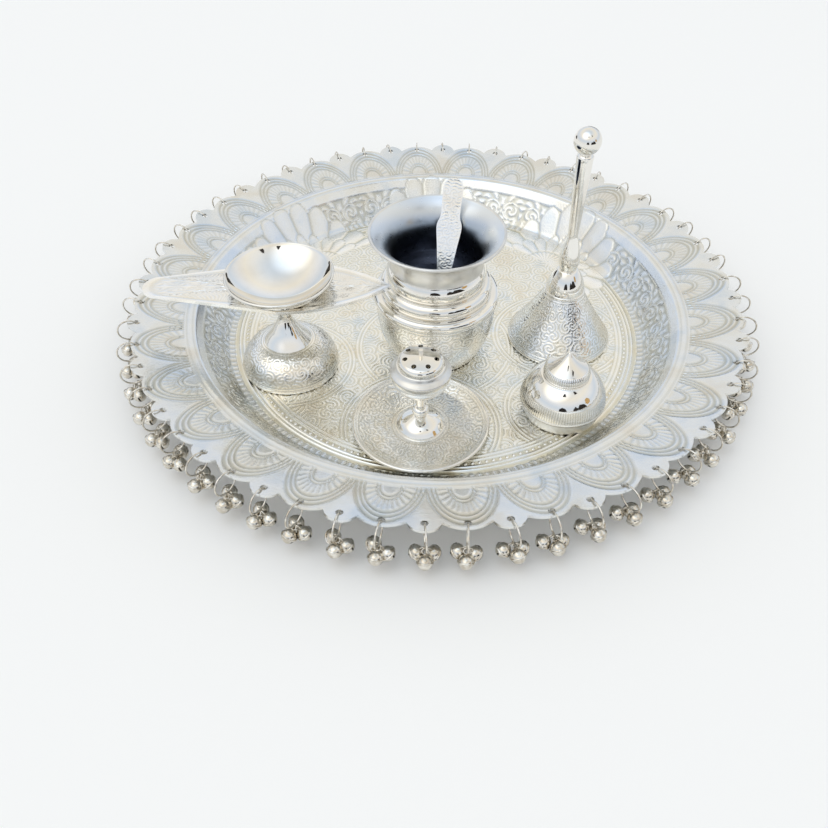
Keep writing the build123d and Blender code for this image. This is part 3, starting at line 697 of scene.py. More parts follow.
def carved_plate(name, radii, angles, relief, lower_steps, metal, nodes=(), holes=False):
    """One ring of the plate as a closed shell, its upper face pressed down by the relief."""
    rings, columns = radii.shape
    height = plate_rise(radii)
    slope = np.arctan((plate_rise(radii + slope_step) - plate_rise(radii - slope_step)) / (2 * slope_step))
    sink = relief_depth * (1 - relief)
    turn = np.broadcast_to(angles, radii.shape)

    def placed(drop, rows):
        reach = (radii + np.sin(slope) * drop)[rows]
        up = (height - np.cos(slope) * drop)[rows]
        return np.stack([reach * np.cos(turn[rows]), reach * np.sin(turn[rows]), up], axis=-1)

    lower_rows = np.unique(np.linspace(0, rings - 1, lower_steps + 1).round().astype(int))
    upper = placed(sink, np.arange(rings))
    lower = placed(np.full(radii.shape, plate_sheet), lower_rows)
    keep = drilled(upper, lower) if holes else np.ones((rings - 1, columns), dtype=bool)
    across = np.arange(columns)
    onward = np.roll(across, -1)
    base = rings * columns
    faces = []
    for ring in range(rings - 1):
        a = ring * columns + across[keep[ring]]
        b = ring * columns + onward[keep[ring]]
        faces.extend(quads(a, a + columns, b + columns, b))
    for ring in range(len(lower_rows) - 1):
        kept = keep[ring] if holes else slice(None)
        a = base + ring * columns + across[kept]
        b = base + ring * columns + onward[kept]
        faces.extend(quads(a, b, b + columns, a + columns))
    a = (rings - 1) * columns
    b = base + (len(lower_rows) - 1) * columns
    faces.extend(quads(a + across, b + across, b + onward, a + onward))
    if radii[0, 0] > 0:
        faces.extend(quads(across, onward, base + onward, base + across))
    else:
        poles = {**dict.fromkeys(range(columns), 0), **dict.fromkeys(range(base, base + columns), base)}
        faces = [list(dict.fromkeys(poles.get(i, i) for i in face)) for face in faces]
    faces.extend(hole_walls(keep, base))
    points = np.vstack([upper.reshape(-1, 3), lower.reshape(-1, 3)])
    # Tone follows the relief, so pressed-down hollows come out darker: partly toning, partly painted shade
    upper_tone = 1 - relief_tone_share * (1 - relief.ravel())
    tone = np.concatenate([upper_tone, np.full(lower.shape[0] * columns, under_tone_share)])
    used = np.unique(np.concatenate([np.asarray(face) for face in faces]))
    renumber = np.full(len(points), -1)
    renumber[used] = np.arange(len(used))
    faces = [[int(renumber[i]) for i in face] for face in faces]
    return finished(name, points[used], faces, [metal], "plate", nodes, tone[used])


outline_samples = 400


def ring_rows(inner, outer, spacing):
    """Radii of a ring of the plate at a spacing along its slanted face."""
    reach = np.linspace(inner, outer, outline_samples)
    run = run_along(np.column_stack([reach, plate_rise(reach)]))
    rows = max(2, round(run[-1] / spacing))
    return np.interp(np.linspace(0, run[-1], rows + 1), run, reach)


# Round rings of the plate: name, inner and outer radius, spacing, columns, relief, rows beneath, metal, nodes
fine_spacing = 0.6
rim_spacing = 0.5
plate_nodes = ("thali_plate",)
plate_rings = [
    ("plate_floor_middle", 0, floor_seam, fine_spacing, 600, floor_relief, 3, pressed_silver, plate_nodes),
    ("plate_floor_border", floor_seam, floor_flat, fine_spacing, 1064, floor_relief, 3, pressed_silver, ()),
    ("plate_wall", floor_flat, ledge_outer_radius, fine_spacing, 1120, wall_ring_relief, 10, rim_silver, ()),
    ("plate_palmettes", ledge_outer_radius, lobe_seam, rim_spacing, 1344, rim_relief, 3, rim_silver, ()),
]
for ring_name, inner, outer, spacing, columns, relief_of, lower_steps, metal, nodes in plate_rings:
    ring_angles = np.arange(columns) * TAU / columns
    ring_radii = np.repeat(ring_rows(inner, outer, spacing)[:, None], columns, axis=1)
    ring_relief = relief_of(np.broadcast_to(ring_angles, ring_radii.shape), ring_radii)
    carved_plate(ring_name, ring_radii, ring_angles, ring_relief, lower_steps, metal, nodes)

# Scalloped edge of the plate, with the drops' holes
columns_per_lobe_pair = 48
lobe_columns = columns_per_lobe_pair * lobe_pairs
lobe_rows = 16
lobe_angles = first_small_lobe + np.arange(lobe_columns) * TAU / lobe_columns
lobe_shares = np.linspace(0, 1, lobe_rows + 1)[:, None]
lobe_radii = lobe_seam + lobe_shares * (edge_radius(lobe_angles) - lobe_seam)
lobe_relief = rim_relief(np.broadcast_to(lobe_angles, lobe_radii.shape), lobe_radii)
carved_plate("plate_lobes", lobe_radii, lobe_angles, lobe_relief, lobe_rows, rim_silver, holes=True)

# Turned pieces and their engraving
engrave_depth = 0.16
engrave_tone_share = 0.75
engrave_spacing = 0.5
engrave_end = 0.8
turned_spacing = 1.4
on_axis = 1e-6


def turned(name, place, sections, columns, body, nodes, hoop=False):
    """A lathe-turned piece: sections of finish, outline and engraving, from the axis out and back."""
    materials = []
    rows = []
    pattern = []
    finish = []
    turn = np.arange(columns) * TAU / columns
    for material, lines, engraving in sections:
        if material not in materials:
            materials.append(material)
        points = divided(np.vstack(lines), engrave_spacing if engraving else turned_spacing)
        run = run_along(points)
        shape = np.ones((len(points), columns))
        if engraving:
            ends = ease(np.minimum(run, run[-1] - run) / engrave_end)[:, None]
            shape = 1 - (1 - engraving(turn, run, run[-1])) * ends
        first = 1 if rows else 0
        rows.extend(points[first:])
        pattern.extend(shape[first:])
        finish.extend([materials.index(material)] * (len(points) - 1))
    if hoop:
        rows.pop()
        pattern.pop()
    rows = np.array(rows)
    pattern = np.array(pattern)
    count = len(rows)
    ahead = np.roll(rows, -1, axis=0) if hoop else np.vstack([rows[1:], rows[-1:]])
    behind = np.roll(rows, 1, axis=0) if hoop else np.vstack([rows[:1], rows[:-1]])
    along = ahead - behind
    along /= np.maximum(np.linalg.norm(along, axis=1), on_axis)[:, None]
    sink = engrave_depth * (1 - pattern)
    radius = rows[:, :1] - along[:, 1:] * sink
    height = rows[:, 1:] + along[:, :1] * sink
    points = []
    tone = []
    starts = []
    for row in range(count):
        starts.append(len(points))
        if rows[row, 0] < on_axis:
            points.append((place[0], place[1], seat + rows[row, 1]))
            tone.append(1.0)
            continue
        x = place[0] + radius[row] * np.cos(turn)
        y = place[1] + radius[row] * np.sin(turn)
        points.extend(np.column_stack([x, y, seat + height[row]]).tolist())
        # Engraved lines take a lower tone and come out darker: partly toning, partly painted shade
        tone.extend((1 - engrave_tone_share * (1 - pattern[row])).tolist())
    faces = []
    index = []
    for row in range(count if hoop else count - 1):
        after = (row + 1) % count
        a = starts[row]
        b = starts[after]
        low_pole = rows[row, 0] < on_axis
        high_pole = rows[after, 0] < on_axis
        if low_pole and high_pole:
            continue
        for column in range(columns):
            onward = (column + 1) % columns
            if low_pole:
                faces.append((a, b + onward, b + column))
            elif high_pole:
                faces.append((a + column, a + onward, b))
            else:
                faces.append((a + column, a + onward, b + onward, b + column))
            index.append(finish[row])
    return finished(name, points, faces, materials, body, nodes, tone, index)


band_line_inset = 1.3
band_line_width = 1.1
band_field_inset = 2.0
band_field_fade = 0.4


def scroll_band(radius, spacing, pitch, seed):
    """Engraving of scrolls between two ring lines, for a turned face of about this radius."""

    def engraving(turn, run, length):
        seeds, hands = scroll_seeds((0, 0), (TAU * radius, length), spacing, seed, TAU * radius)
        across, along = np.meshgrid(turn * radius, run)
        swirl = scrolls(across.ravel(), along.ravel(), seeds, hands, pitch).reshape(across.shape)
        lines = ridge(along - band_line_inset, band_line_width)
        lines = lines + ridge(length - band_line_inset - along, band_line_width)
        field = ease((along - band_field_inset) / band_field_fade)
        field = field * ease((length - band_field_inset - along) / band_field_fade)
        return np.minimum(swirl * field + lines, 1)

    return engraving


def stroke_band(count):
    """Engraving of upright strokes round a turned face."""

    def engraving(turn, run, length):
        around, along = np.meshgrid(turn, run)
        return wave(count * around)

    return engraving


# Outlines of the turned pieces: each point is a radius and a height above the plane that the vessels stand on
kalash_base = [(0, 0), (21.4, 0), (21.8, 0.4)]
kalash_belly = bow((21.8, 0.4), (28.0, 16.5), (28.6, 30.8))
kalash_steps = [
    [(28.6, 30.8)],
    bow((29.0, 30.9), (30.5, 32.9), (27.9, 36.0)),
    [(26.0, 36.1)],
    bow((26.2, 36.2), (26.9, 38.6), (24.6, 42.4)),
    [(23.0, 42.5)],
    bow((23.2, 42.6), (23.9, 45.6), (22.4, 50.6)),
]
kalash_flare = bow((22.4, 50.6), (23.6, 59.0), (31.5, 66.5))
kalash_lip = bow((31.8, 66.9), (31.7, 67.7), (31.0, 67.9))
kalash_inside = [
    bow((30.5, 67.5), (22.4, 59.0), (21.2, 50.6)),
    [(22.6, 42.4), (25.6, 36.0), (27.4, 30.8)],
    bow((27.4, 30.8), (26.8, 16.5), (20.6, 1.2)),
    [(0, 1.2)],
]
diya_foot_under = [[(0, 14.6), (11.4, 14.6)], bow((11.4, 14.6), (20.4, 7.4), (22.6, 0))]
diya_foot_edge = [(22.6, 0), (23.6, 0), (23.8, 0.2), (23.8, 1.6)]
diya_foot_dome = bow((23.8, 1.6), (21.6, 8.6), (11.4, 15.8))
diya_foot_top = [(11.4, 15.8), (0, 15.8)]
diya_stem_line = [
    [(0, 15.8), (11.4, 15.8)],
    glide([(11.4, 15.8), (6.6, 22.5), (3.2, 31.0), (6.5, 41.6)]),
    [(0, 41.6)],
]
diya_bowl_line = [
    [(0, 41.6)],
    bow((6.5, 41.6), (12.2, 43.0), (16.4, 45.4)),
    [(16.4, 46.9), (18.4, 46.9)],
    bow((18.4, 46.9), (22.6, 50.0), (25.2, 53.7)),
    bow((25.2, 53.8), (24.9, 54.2), (24.3, 54.1)),
    bow((24.2, 53.9), (13.3, 46.2), (0, 43.4)),
]
bell_lip = [(24.2, 0), (25.5, 0), (25.8, 0.3), (25.8, 1.8)]
bell_side = glide([(25.8, 1.8), (16.9, 15.5), (9.4, 28.6)], steps=20)
bell_crown = [
    bow((9.4, 28.6), (10.0, 29.3), (9.4, 30.0)),
    bow((9.4, 30.0), (7.8, 36.5), (4.6, 41.5)),
    [(2.05, 41.5), (2.05, 39.9), (4.6, 39.9)],
]
bell_hollow = [bow((4.6, 39.9), (6.2, 34.9), (7.8, 28.6)), glide([(7.8, 28.6), (15.3, 15.5), (24.2, 0)])]
bell_handle_line = [
    [(0, 37.3), (2.0, 37.3), (2.0, 41.5), (4.0, 41.5)],
    glide([(4.2, 41.8), (5.0, 48.0), (2.4, 60.0)]),
    [(3.75, 99.3), (3.9, 100.0), (3.7, 100.6), (2.6, 101.4)],
    bow((2.6, 101.48), (6.1, 107.0), (0, 113.1), steps=32),
]
incense_dish_under = [(0, 0), (25.0, 0), (31.5, 2.5)]
incense_dish_edge = bow((31.5, 2.5), (31.6, 3.6), (30.6, 3.8))
incense_dish_face = [(30.4, 3.75), (23.8, 1.2), (11.3, 1.2)]
incense_dish_middle = [(11.3, 1.2), (0, 1.2)]
incense_stem_line = [
    [(0, 1.2), (11.1, 1.2), (11.1, 2.0)],
    glide([(11.0, 2.2), (8.6, 4.9), (4.2, 7.2), (1.9, 8.0)]),
    bow((1.9, 8.2), (4.0, 10.6), (1.9, 13.0)),
    [(1.9, 22.0), (0, 22.0)],
]
incense_cup_side = [[(0, 22.0)], bow((3.4, 22.0), (10.8, 26.4), (13.5, 33.8)), [(13.5, 34.6)]]
incense_cup_shoulder = [(13.5, 34.6), (13.2, 35.0), (11.3, 36.4), (10.7, 37.9)]
incense_cup_hollow = [
    [(10.7, 37.9), (10.5, 38.0), (9.5, 38.0), (10.1, 36.0), (12.0, 34.2)],
    bow((12.0, 34.2), (9.6, 27.5), (2.3, 23.1)),
    [(0, 23.1)],
]
kumkum_base = [(0, 0), (17.0, 0), (17.4, 0.3), (19.6, 7.5)]
kumkum_ridge = bow((19.6, 7.5), (19.9, 8.0), (19.7, 8.4))
kumkum_side = bow((19.7, 8.4), (18.0, 15.6), (11.6, 22.6), steps=40)
kumkum_stroke_rows = 16
kumkum_hollow = [
    [(9.4, 22.6), (9.4, 20.2)],
    bow((9.4, 20.2), (15.6, 14.4), (17.3, 7.6)),
    [(16.1, 1.2), (0, 1.2)],
]
kumkum_lid_under = [(0, 27.1), (8.1, 27.1), (8.1, 19.7), (9.1, 19.7), (9.1, 22.7), (10.4, 22.7)]
kumkum_lid_edge = bow((10.4, 22.7), (10.5, 24.8), (9.2, 27.1))
kumkum_lid_cone = [bow((9.2, 27.1), (5.2, 29.9), (1.6, 33.5)), [(0, 35.7)]]

# Kalash: engraved belly, three mirror rings, satin neck and an unbuffed inside painted with shade
kalash_sections = [
    (satin_silver, [kalash_base], None),
    (engraved_silver, [kalash_belly], scroll_band(radius=26.5, spacing=6.2, pitch=1.7, seed=11)),
    (mirror_silver, kalash_steps, None),
    (satin_silver, [kalash_flare, kalash_lip, kalash_inside[0][:1]], None),
    (inside_silver, kalash_inside, None),
]
# Diya: engraved foot, mirror stem and bowl
diya_foot_sections = [
    (satin_silver, diya_foot_under, None),
    (mirror_silver, [diya_foot_edge], None),
    (engraved_silver, [diya_foot_dome], scroll_band(radius=19.5, spacing=5.4, pitch=1.6, seed=21)),
    (mirror_silver, [diya_foot_top], None),
]
diya_stem_sections = [(mirror_silver, diya_stem_line, None)]
diya_bowl_sections = [(mirror_silver, diya_bowl_line, None)]
# Hand bell: engraved shell with a mirror dome, and a mirror handle
bell_shell_sections = [
    (mirror_silver, [bell_lip], None),
    (engraved_silver, [bell_side], scroll_band(radius=17.5, spacing=5.6, pitch=1.6, seed=31)),
    (mirror_silver, bell_crown, None),
    (satin_silver, bell_hollow, None),
]
bell_handle_sections = [(mirror_silver, bell_handle_line, None)]
# Incense stand: engraved dish, mirror stem and cup with a satin shoulder
incense_dish_sections = [
    (satin_silver, [incense_dish_under], None),
    (mirror_silver, [incense_dish_edge], None),
    (engraved_silver, [incense_dish_face], scroll_band(radius=22.0, spacing=5.4, pitch=1.7, seed=41)),
    (mirror_silver, [incense_dish_middle], None),
]
incense_stem_sections = [(mirror_silver, incense_stem_line, None)]
incense_cup_sections = [
    (mirror_silver, incense_cup_side, None),
    (satin_silver, [incense_cup_shoulder], None),
    (mirror_silver, incense_cup_hollow, None),
]
# Kumkum box: plain base, band of upright strokes and mirror shoulder, under a knurled pointed lid
kumkum_box_sections = [
    (satin_silver, [kumkum_base], None),
    (mirror_silver, [kumkum_ridge], None),
    (engraved_silver, [kumkum_side[: kumkum_stroke_rows + 1]], stroke_band(count=104)),
    (mirror_silver, [kumkum_side[kumkum_stroke_rows:], *kumkum_hollow], None),
]
kumkum_lid_sections = [
    (satin_silver, [kumkum_lid_under], None),
    (engraved_silver, [kumkum_lid_edge], stroke_band(count=64)),
    (mirror_silver, kumkum_lid_cone, None),
]

# Turned pieces: name, place, sections, columns, body, nodes replaced, and True where the outline is closed
kalash_nodes = ("kalash_pot", "kalash_neck", "kalash_mouth")
turned_pieces = [
    ("kalash", kalash_place, kalash_sections, 320, "kalash", kalash_nodes),
    ("diya_foot_engraved", diya_place, diya_foot_sections, 300, "diya", ("diya_foot",)),
    ("diya_stem_turned", diya_place, diya_stem_sections, 96, "diya", ("diya_stem",)),
    ("diya_bowl_turned", diya_place, diya_bowl_sections, 160, "diya", ("diya_bowl",)),
    ("bell_shell_engraved", bell_place, bell_shell_sections, 300, "bell", ("bell_shell",), True),
    ("bell_handle_turned", bell_place, bell_handle_sections, 96, "bell", ("bell_handle",)),
    ("incense_dish_engraved", incense_place, incense_dish_sections, 320, "incense", ("incense_dish",)),
    ("incense_stem_turned", incense_place, incense_stem_sections, 96, "incense", ("incense_stem",)),
    ("incense_cup_turned", incense_place, incense_cup_sections, 128, "incense", ("incense_cup",)),
    ("kumkum_box_turned", kumkum_place, kumkum_box_sections, 416, "kumkum_box", ("kumkum_box",)),
    ("kumkum_lid_turned", kumkum_place, kumkum_lid_sections, 256, "kumkum_lid", ("kumkum_lid",)),
]
for piece in turned_pieces:
    turned(*piece)


def sheet_shell(upper, lower, around):
    """Points and faces of a thin closed shell between two grids, whose columns may go all the way round."""
    rows, columns = upper.shape[:2]
    base = rows * columns
    across = np.arange(columns if around else columns - 1)
    onward = (across + 1) % columns
    faces = []
    for row in range(rows - 1):
        a = row * columns + across
        b = row * columns + onward
        faces.extend(quads(a, a + columns, b + columns, b))
        faces.extend(quads(base + a, base + b, base + b + columns, base + a + columns))
    a = (rows - 1) * columns + across
    b = (rows - 1) * columns + onward
    faces.extend(quads(a, base + a, base + b, b))
    faces.extend(quads(across, onward, base + onward, base + across))
    if not around:
        a = np.arange(rows - 1) * columns
        b = a + columns
        faces.extend(quads(a, base + a, base + b, b))
        a = a + columns - 1
        b = b + columns - 1
        faces.extend(quads(a, b, base + b, base + a))
    return np.vstack([upper.reshape(-1, 3), lower.reshape(-1, 3)]), faces


# Leaf round the lamp bowl: drawn handle to the left, point to the right
leaf_rise = 45.4
leaf_sheet = 1.5
leaf_bottom = seat + leaf_rise
leaf_top = leaf_bottom + leaf_sheet
leaf_hole_radius = 16.5
leaf_half_width = 19.5
leaf_tip = 51.4
leaf_handle_middle = -56.3
leaf_handle_half_width = 7.5
leaf_arc_radius = (leaf_tip**2 + leaf_half_width**2) / (2 * leaf_half_width)
leaf_arc_points = 60
leaf_cap_points = 40
leaf_columns = 420
leaf_rows = 40
leaf_relief_depth = 0.22
leaf_least_width = 1.0
leaf_least_inset_share = 0.25
leaf_edge_width = 1.0
leaf_edge_fade = 0.5
leaf_field_gap = 0.2
leaf_line_count = 10
leaf_line_share = 0.8
leaf_tone_share = 0.45
leaf_under_tone_share = 0.8

arc_turns = np.linspace(0, math.asin(leaf_tip / leaf_arc_radius), leaf_arc_points)
arc_rise = leaf_half_width - leaf_arc_radius * (1 - np.cos(arc_turns))
upper_arc = np.column_stack([leaf_arc_radius * np.sin(arc_turns), arc_rise])
cap_turns = np.linspace(math.pi / 2, 3 * math.pi / 2, leaf_cap_points)
cap_reach = leaf_handle_middle + leaf_handle_half_width * np.cos(cap_turns)
cap = np.column_stack([cap_reach, leaf_handle_half_width * np.sin(cap_turns)])
leaf_line = np.vstack([upper_arc[::-1], cap, upper_arc * (1, -1)])
leaf_run = run_along(leaf_line)
leaf_stops = np.linspace(0, leaf_run[-1], leaf_columns + 1)[:-1]
leaf_edge = np.column_stack([np.interp(leaf_stops, leaf_run, leaf_line[:, axis]) for axis in (0, 1)])
leaf_reach = np.hypot(leaf_edge[:, 0], leaf_edge[:, 1])
leaf_shares = np.linspace(0, 1, leaf_rows + 1)[:, None]
leaf_steps = leaf_hole_radius / leaf_reach + leaf_shares * (1 - leaf_hole_radius / leaf_reach)
leaf_x = leaf_steps * leaf_edge[:, 0]
leaf_y = leaf_steps * leaf_edge[:, 1]
leaf_width = np.interp(leaf_x, *leaf_line[leaf_line[:, 1] >= 0][::-1].T)
leaf_inset = np.minimum(1, leaf_width / leaf_reach + leaf_least_inset_share)
leaf_inset = (1 - leaf_steps) * leaf_reach * leaf_inset
leaf_edge_ridge = ease((leaf_edge_width - leaf_inset) / leaf_edge_fade)
leaf_veins = wave(TAU * leaf_line_count * leaf_y / np.maximum(leaf_width, leaf_least_width))
leaf_field = ease((leaf_inset - leaf_edge_width - leaf_field_gap) / leaf_edge_fade)
leaf_relief = np.maximum(leaf_edge_ridge, leaf_line_share * leaf_veins * leaf_field)
leaf_place = np.stack([leaf_x + diya_place[0], leaf_y + diya_place[1], np.zeros(leaf_x.shape)], axis=-1)
leaf_upper = leaf_place + (0, 0, 1) * (leaf_top - leaf_relief_depth * (1 - leaf_relief))[..., None]
leaf_lower = leaf_place + np.array([0, 0, leaf_bottom])
leaf_points, leaf_faces = sheet_shell(leaf_upper, leaf_lower, around=True)
# The leaf's hollows take a lower tone and come out darker: partly toning, partly painted shade
leaf_upper_tone = 1 - leaf_tone_share * (1 - leaf_relief.ravel())
leaf_tone = np.concatenate([leaf_upper_tone, np.full(leaf_relief.size, leaf_under_tone_share)])
leaf_nodes = ("diya_leaf",)
finished("diya_leaf_chased", leaf_points, leaf_faces, [engraved_silver], "diya", leaf_nodes, leaf_tone)

# Spoon: chased handle and round bowl
spoon_middle = np.array([-0.5, -27.0, 11.8])
spoon_lean = math.radians(7.2)
spoon_tilt = math.radians(30)
spoon_run = np.array([math.tan(spoon_lean), math.tan(spoon_tilt), 1.0])
spoon_run /= np.linalg.norm(spoon_run)
spoon_facing = np.cross((1, 0, 0), spoon_run)
spoon_facing /= np.linalg.norm(spoon_facing)
spoon_across = np.cross(spoon_facing, spoon_run)
spoon_sheet = 1.2
spoon_spacing = 0.5
spoon_columns = 20
spoon_bowl_radius = 9.0
spoon_bowl_rows = 16
spoon_head_radius = 4.8
spoon_head_middle = 74.2
spoon_head_points = 14
spoon_tip_half_width = 0.4
spoon_chase_start = 33.0
spoon_chase_fade = 3.0
spoon_chase_depth = 0.1
spoon_tone_share = 0.35
spoon_edge_width = 0.8
spoon_edge_fade = 0.4
spoon_scroll_spacing = 3.6
spoon_scroll_pitch = 1.4
# Half width of the handle at some places along it
handle_places = [
    (6.6, 3.0),
    (20.0, 2.9),
    (33.0, 3.3),
    (46.0, 4.7),
    (56.0, 6.0),
    (60.4, 4.8),
    (64.0, 4.5),
    (70.0, 4.7),
]
handle_line = glide(handle_places, steps=12)
head_turns = np.linspace(0, math.pi / 2, spoon_head_points)[:-1]
head_reach = spoon_head_middle + spoon_head_radius * np.sin(head_turns)
head_line = np.column_stack([head_reach, spoon_head_radius * np.cos(head_turns)])
head_tip = [(spoon_head_middle + spoon_head_radius, spoon_tip_half_width)]
handle_line = divided(np.vstack([handle_line, head_line, head_tip]), spoon_spacing)
handle_shares = np.linspace(1, -1, spoon_columns + 1)
handle_t = np.repeat(handle_line[:, :1], len(handle_shares), axis=1)
handle_x = handle_line[:, 1:] * handle_shares
handle_inset = handle_line[:, 1:] * (1 - np.abs(handle_shares))
handle_edge = ease((spoon_edge_width - handle_inset) / spoon_edge_fade)
handle_low = (-spoon_head_radius, spoon_chase_start)
handle_high = (spoon_head_radius, spoon_head_middle)
handle_seeds, handle_hands = scroll_seeds(handle_low, handle_high, spoon_scroll_spacing, seed=51)
handle_curls = scrolls(handle_x.ravel(), handle_t.ravel(), handle_seeds, handle_hands, spoon_scroll_pitch)
handle_chased = ease((handle_t - spoon_chase_start) / spoon_chase_fade)
handle_relief = np.maximum(handle_edge, handle_curls.reshape(handle_x.shape))
handle_relief = 1 - handle_chased * (1 - handle_relief)
handle_crown = spoon_sheet / 2 - spoon_chase_depth * (1 - handle_relief)
handle_flat = spoon_middle + handle_t[..., None] * spoon_run + handle_x[..., None] * spoon_across
handle_upper = handle_flat + handle_crown[..., None] * spoon_facing
handle_lower = handle_flat - spoon_sheet / 2 * spoon_facing
handle_points, handle_faces = sheet_shell(handle_upper, handle_lower, around=False)
spoon_inner_radius = spoon_bowl_radius - spoon_sheet
spoon_rim = spoon_sheet / 2
outer_turns = np.linspace(-math.pi / 2, math.asin(spoon_rim / spoon_bowl_radius), spoon_bowl_rows)
inner_turns = np.linspace(math.asin(spoon_rim / spoon_inner_radius), -math.pi / 2, spoon_bowl_rows)
outer_line = spoon_bowl_radius * np.column_stack([np.cos(outer_turns), np.sin(outer_turns)])
inner_line = spoon_inner_radius * np.column_stack([np.cos(inner_turns), np.sin(inner_turns)])
bowl_line = np.vstack([outer_line, inner_line])[1:-1]
bowl_columns = 48
bowl_across = np.arange(bowl_columns)
bowl_onward = np.roll(bowl_across, -1)
bowl_points = []
for reach, up in bowl_line:
    for spin in bowl_across * TAU / bowl_columns:
        spot = spoon_across * math.cos(spin) + spoon_run * -math.sin(spin)
        bowl_points.append(spoon_middle + reach * spot + up * spoon_facing)
bowl_first = len(handle_points)
bowl_last = bowl_first + (len(bowl_line) - 1) * bowl_columns
bowl_bottom = bowl_first + len(bowl_points)
bowl_faces = []
for row in range(bowl_first, bowl_last, bowl_columns):
    a = row + bowl_across
    b = row + bowl_onward
    bowl_faces.extend(quads(a, b, b + bowl_columns, a + bowl_columns))
for column, onward in zip(bowl_across.tolist(), bowl_onward.tolist()):
    bowl_faces.append((bowl_bottom, bowl_first + onward, bowl_first + column))
    bowl_faces.append((bowl_bottom + 1, bowl_last + column, bowl_last + onward))
bowl_points.append(spoon_middle - spoon_bowl_radius * spoon_facing)
bowl_points.append(spoon_middle - spoon_inner_radius * spoon_facing)
spoon_points = np.vstack([handle_points, bowl_points])
spoon_faces = handle_faces + bowl_faces
spoon_plain = np.ones(handle_relief.size + len(bowl_points))
# The handle's chased hollows take a lower tone and come out darker: partly toning, partly painted shade
spoon_tone = np.concatenate([1 - spoon_tone_share * (1 - handle_relief.ravel()), spoon_plain])
finished("spoon_chased", spoon_points, spoon_faces, [engraved_silver], "spoon", ("spoon",), spoon_tone)


def tree_with(name, sizes):
    """A new geometry tree with its named size inputs, its group input and its group output."""
    tree = bpy.data.node_groups.new(name, "GeometryNodeTree")
    tree.interface.new_socket("Geometry", in_out="INPUT", socket_type="NodeSocketGeometry")
    for size, (kind, value) in sizes.items():
        socket = tree.interface.new_socket(size, in_out="INPUT", socket_type=kind)
        if value is not None:
            socket.default_value = value
    tree.interface.new_socket("Geometry", in_out="OUTPUT", socket_type="NodeSocketGeometry")
    return tree, tree.nodes.new("NodeGroupInput").outputs, tree.nodes.new("NodeGroupOutput").inputs


def completed(tree, instances, metal, result):
    """End a geometry tree: real smooth meshes of one metal."""
    made = geo(tree, "GeometryNodeRealizeInstances", {"Geometry": instances})
    made = geo(tree, "GeometryNodeSetShadeSmooth", {"Geometry": made})
    made = geo(tree, "GeometryNodeSetMaterial", {"Geometry": made, "Material": metal})
    tree.links.new(made, result["Geometry"])


def wire_hoop(tree, radius, wire_radius, steps, wire_steps):
    """A round hoop of wire, lying flat."""
    rail = geo(tree, "GeometryNodeCurvePrimitiveCircle", {"Resolution": steps, "Radius": radius})
    wire = geo(tree, "GeometryNodeCurvePrimitiveCircle", {"Resolution": wire_steps, "Radius": wire_radius})
    return geo(tree, "GeometryNodeCurveToMesh", {"Curve": rail, "Profile Curve": wire})


def moved(tree, geometry, **sockets):
    """Geometry that is shifted, turned or scaled, as the sockets say."""
    named = {key.capitalize(): value for key, value in sockets.items()}
    return geo(tree, "GeometryNodeTransform", {"Geometry": geometry, **named})


def grown(name, tree, places, values, body, nodes=()):
    """Run a geometry tree on some places and keep what it makes as a plain mesh that rides on a body."""
    seeds = bpy.data.meshes.new(name + "_places")
    seeds.from_pydata((np.asarray(places) * METRES_PER_MM).tolist(), [], [])
    grower = bpy.data.objects.new(name + "_grower", seeds)
    bpy.context.scene.collection.objects.link(grower)
    modifier = grower.modifiers.new("grow", "NODES")
    modifier.node_group = tree
    for item in tree.interface.items_tree:
        if item.in_out == "INPUT" and item.name in values:
            modifier[item.identifier] = values[item.name]
    evaluated = grower.evaluated_get(bpy.context.evaluated_depsgraph_get())
    mesh = bpy.data.meshes.new_from_object(evaluated)
    mesh.name = name
    grower.modifiers.clear()
    bpy.data.objects.remove(grower)
    return carried(name, mesh, body, nodes)


# Rim drops: a wire ring in each hole with three jingle bells bunched below it, each bunch its own way
FLOAT = "NodeSocketFloat"
drops, given, result = tree_with(
    "rim_drops",
    {
        "Ring radius": (FLOAT, 0.0055),
        "Wire radius": (FLOAT, 0.0004),
        "Ring dip": (FLOAT, math.radians(35)),
        "Bell radius": (FLOAT, 0.0032),
        "Seam reach": (FLOAT, 0.0003),
        "Seam height": (FLOAT, 0.0007),
        "Eye radius": (FLOAT, 0.0013),
        "Eye wire radius": (FLOAT, 0.0003),
        "Eye play": (FLOAT, 0.0003),
        "Bell spread": (FLOAT, math.radians(4)),
        "Bell splay": (FLOAT, math.radians(31)),
        "Middle bell lean": (FLOAT, math.radians(-36)),
        "Side bell lean": (FLOAT, math.radians(54)),
        "Bunch turn": (FLOAT, math.radians(34)),
        "Sway": (FLOAT, math.radians(9)),
        "Facing": (FLOAT, 0.0),
        "Seed": ("NodeSocketInt", 0),
        "Metal": ("NodeSocketMaterial", None),
    },
)
quarter_turn = math.pi / 2

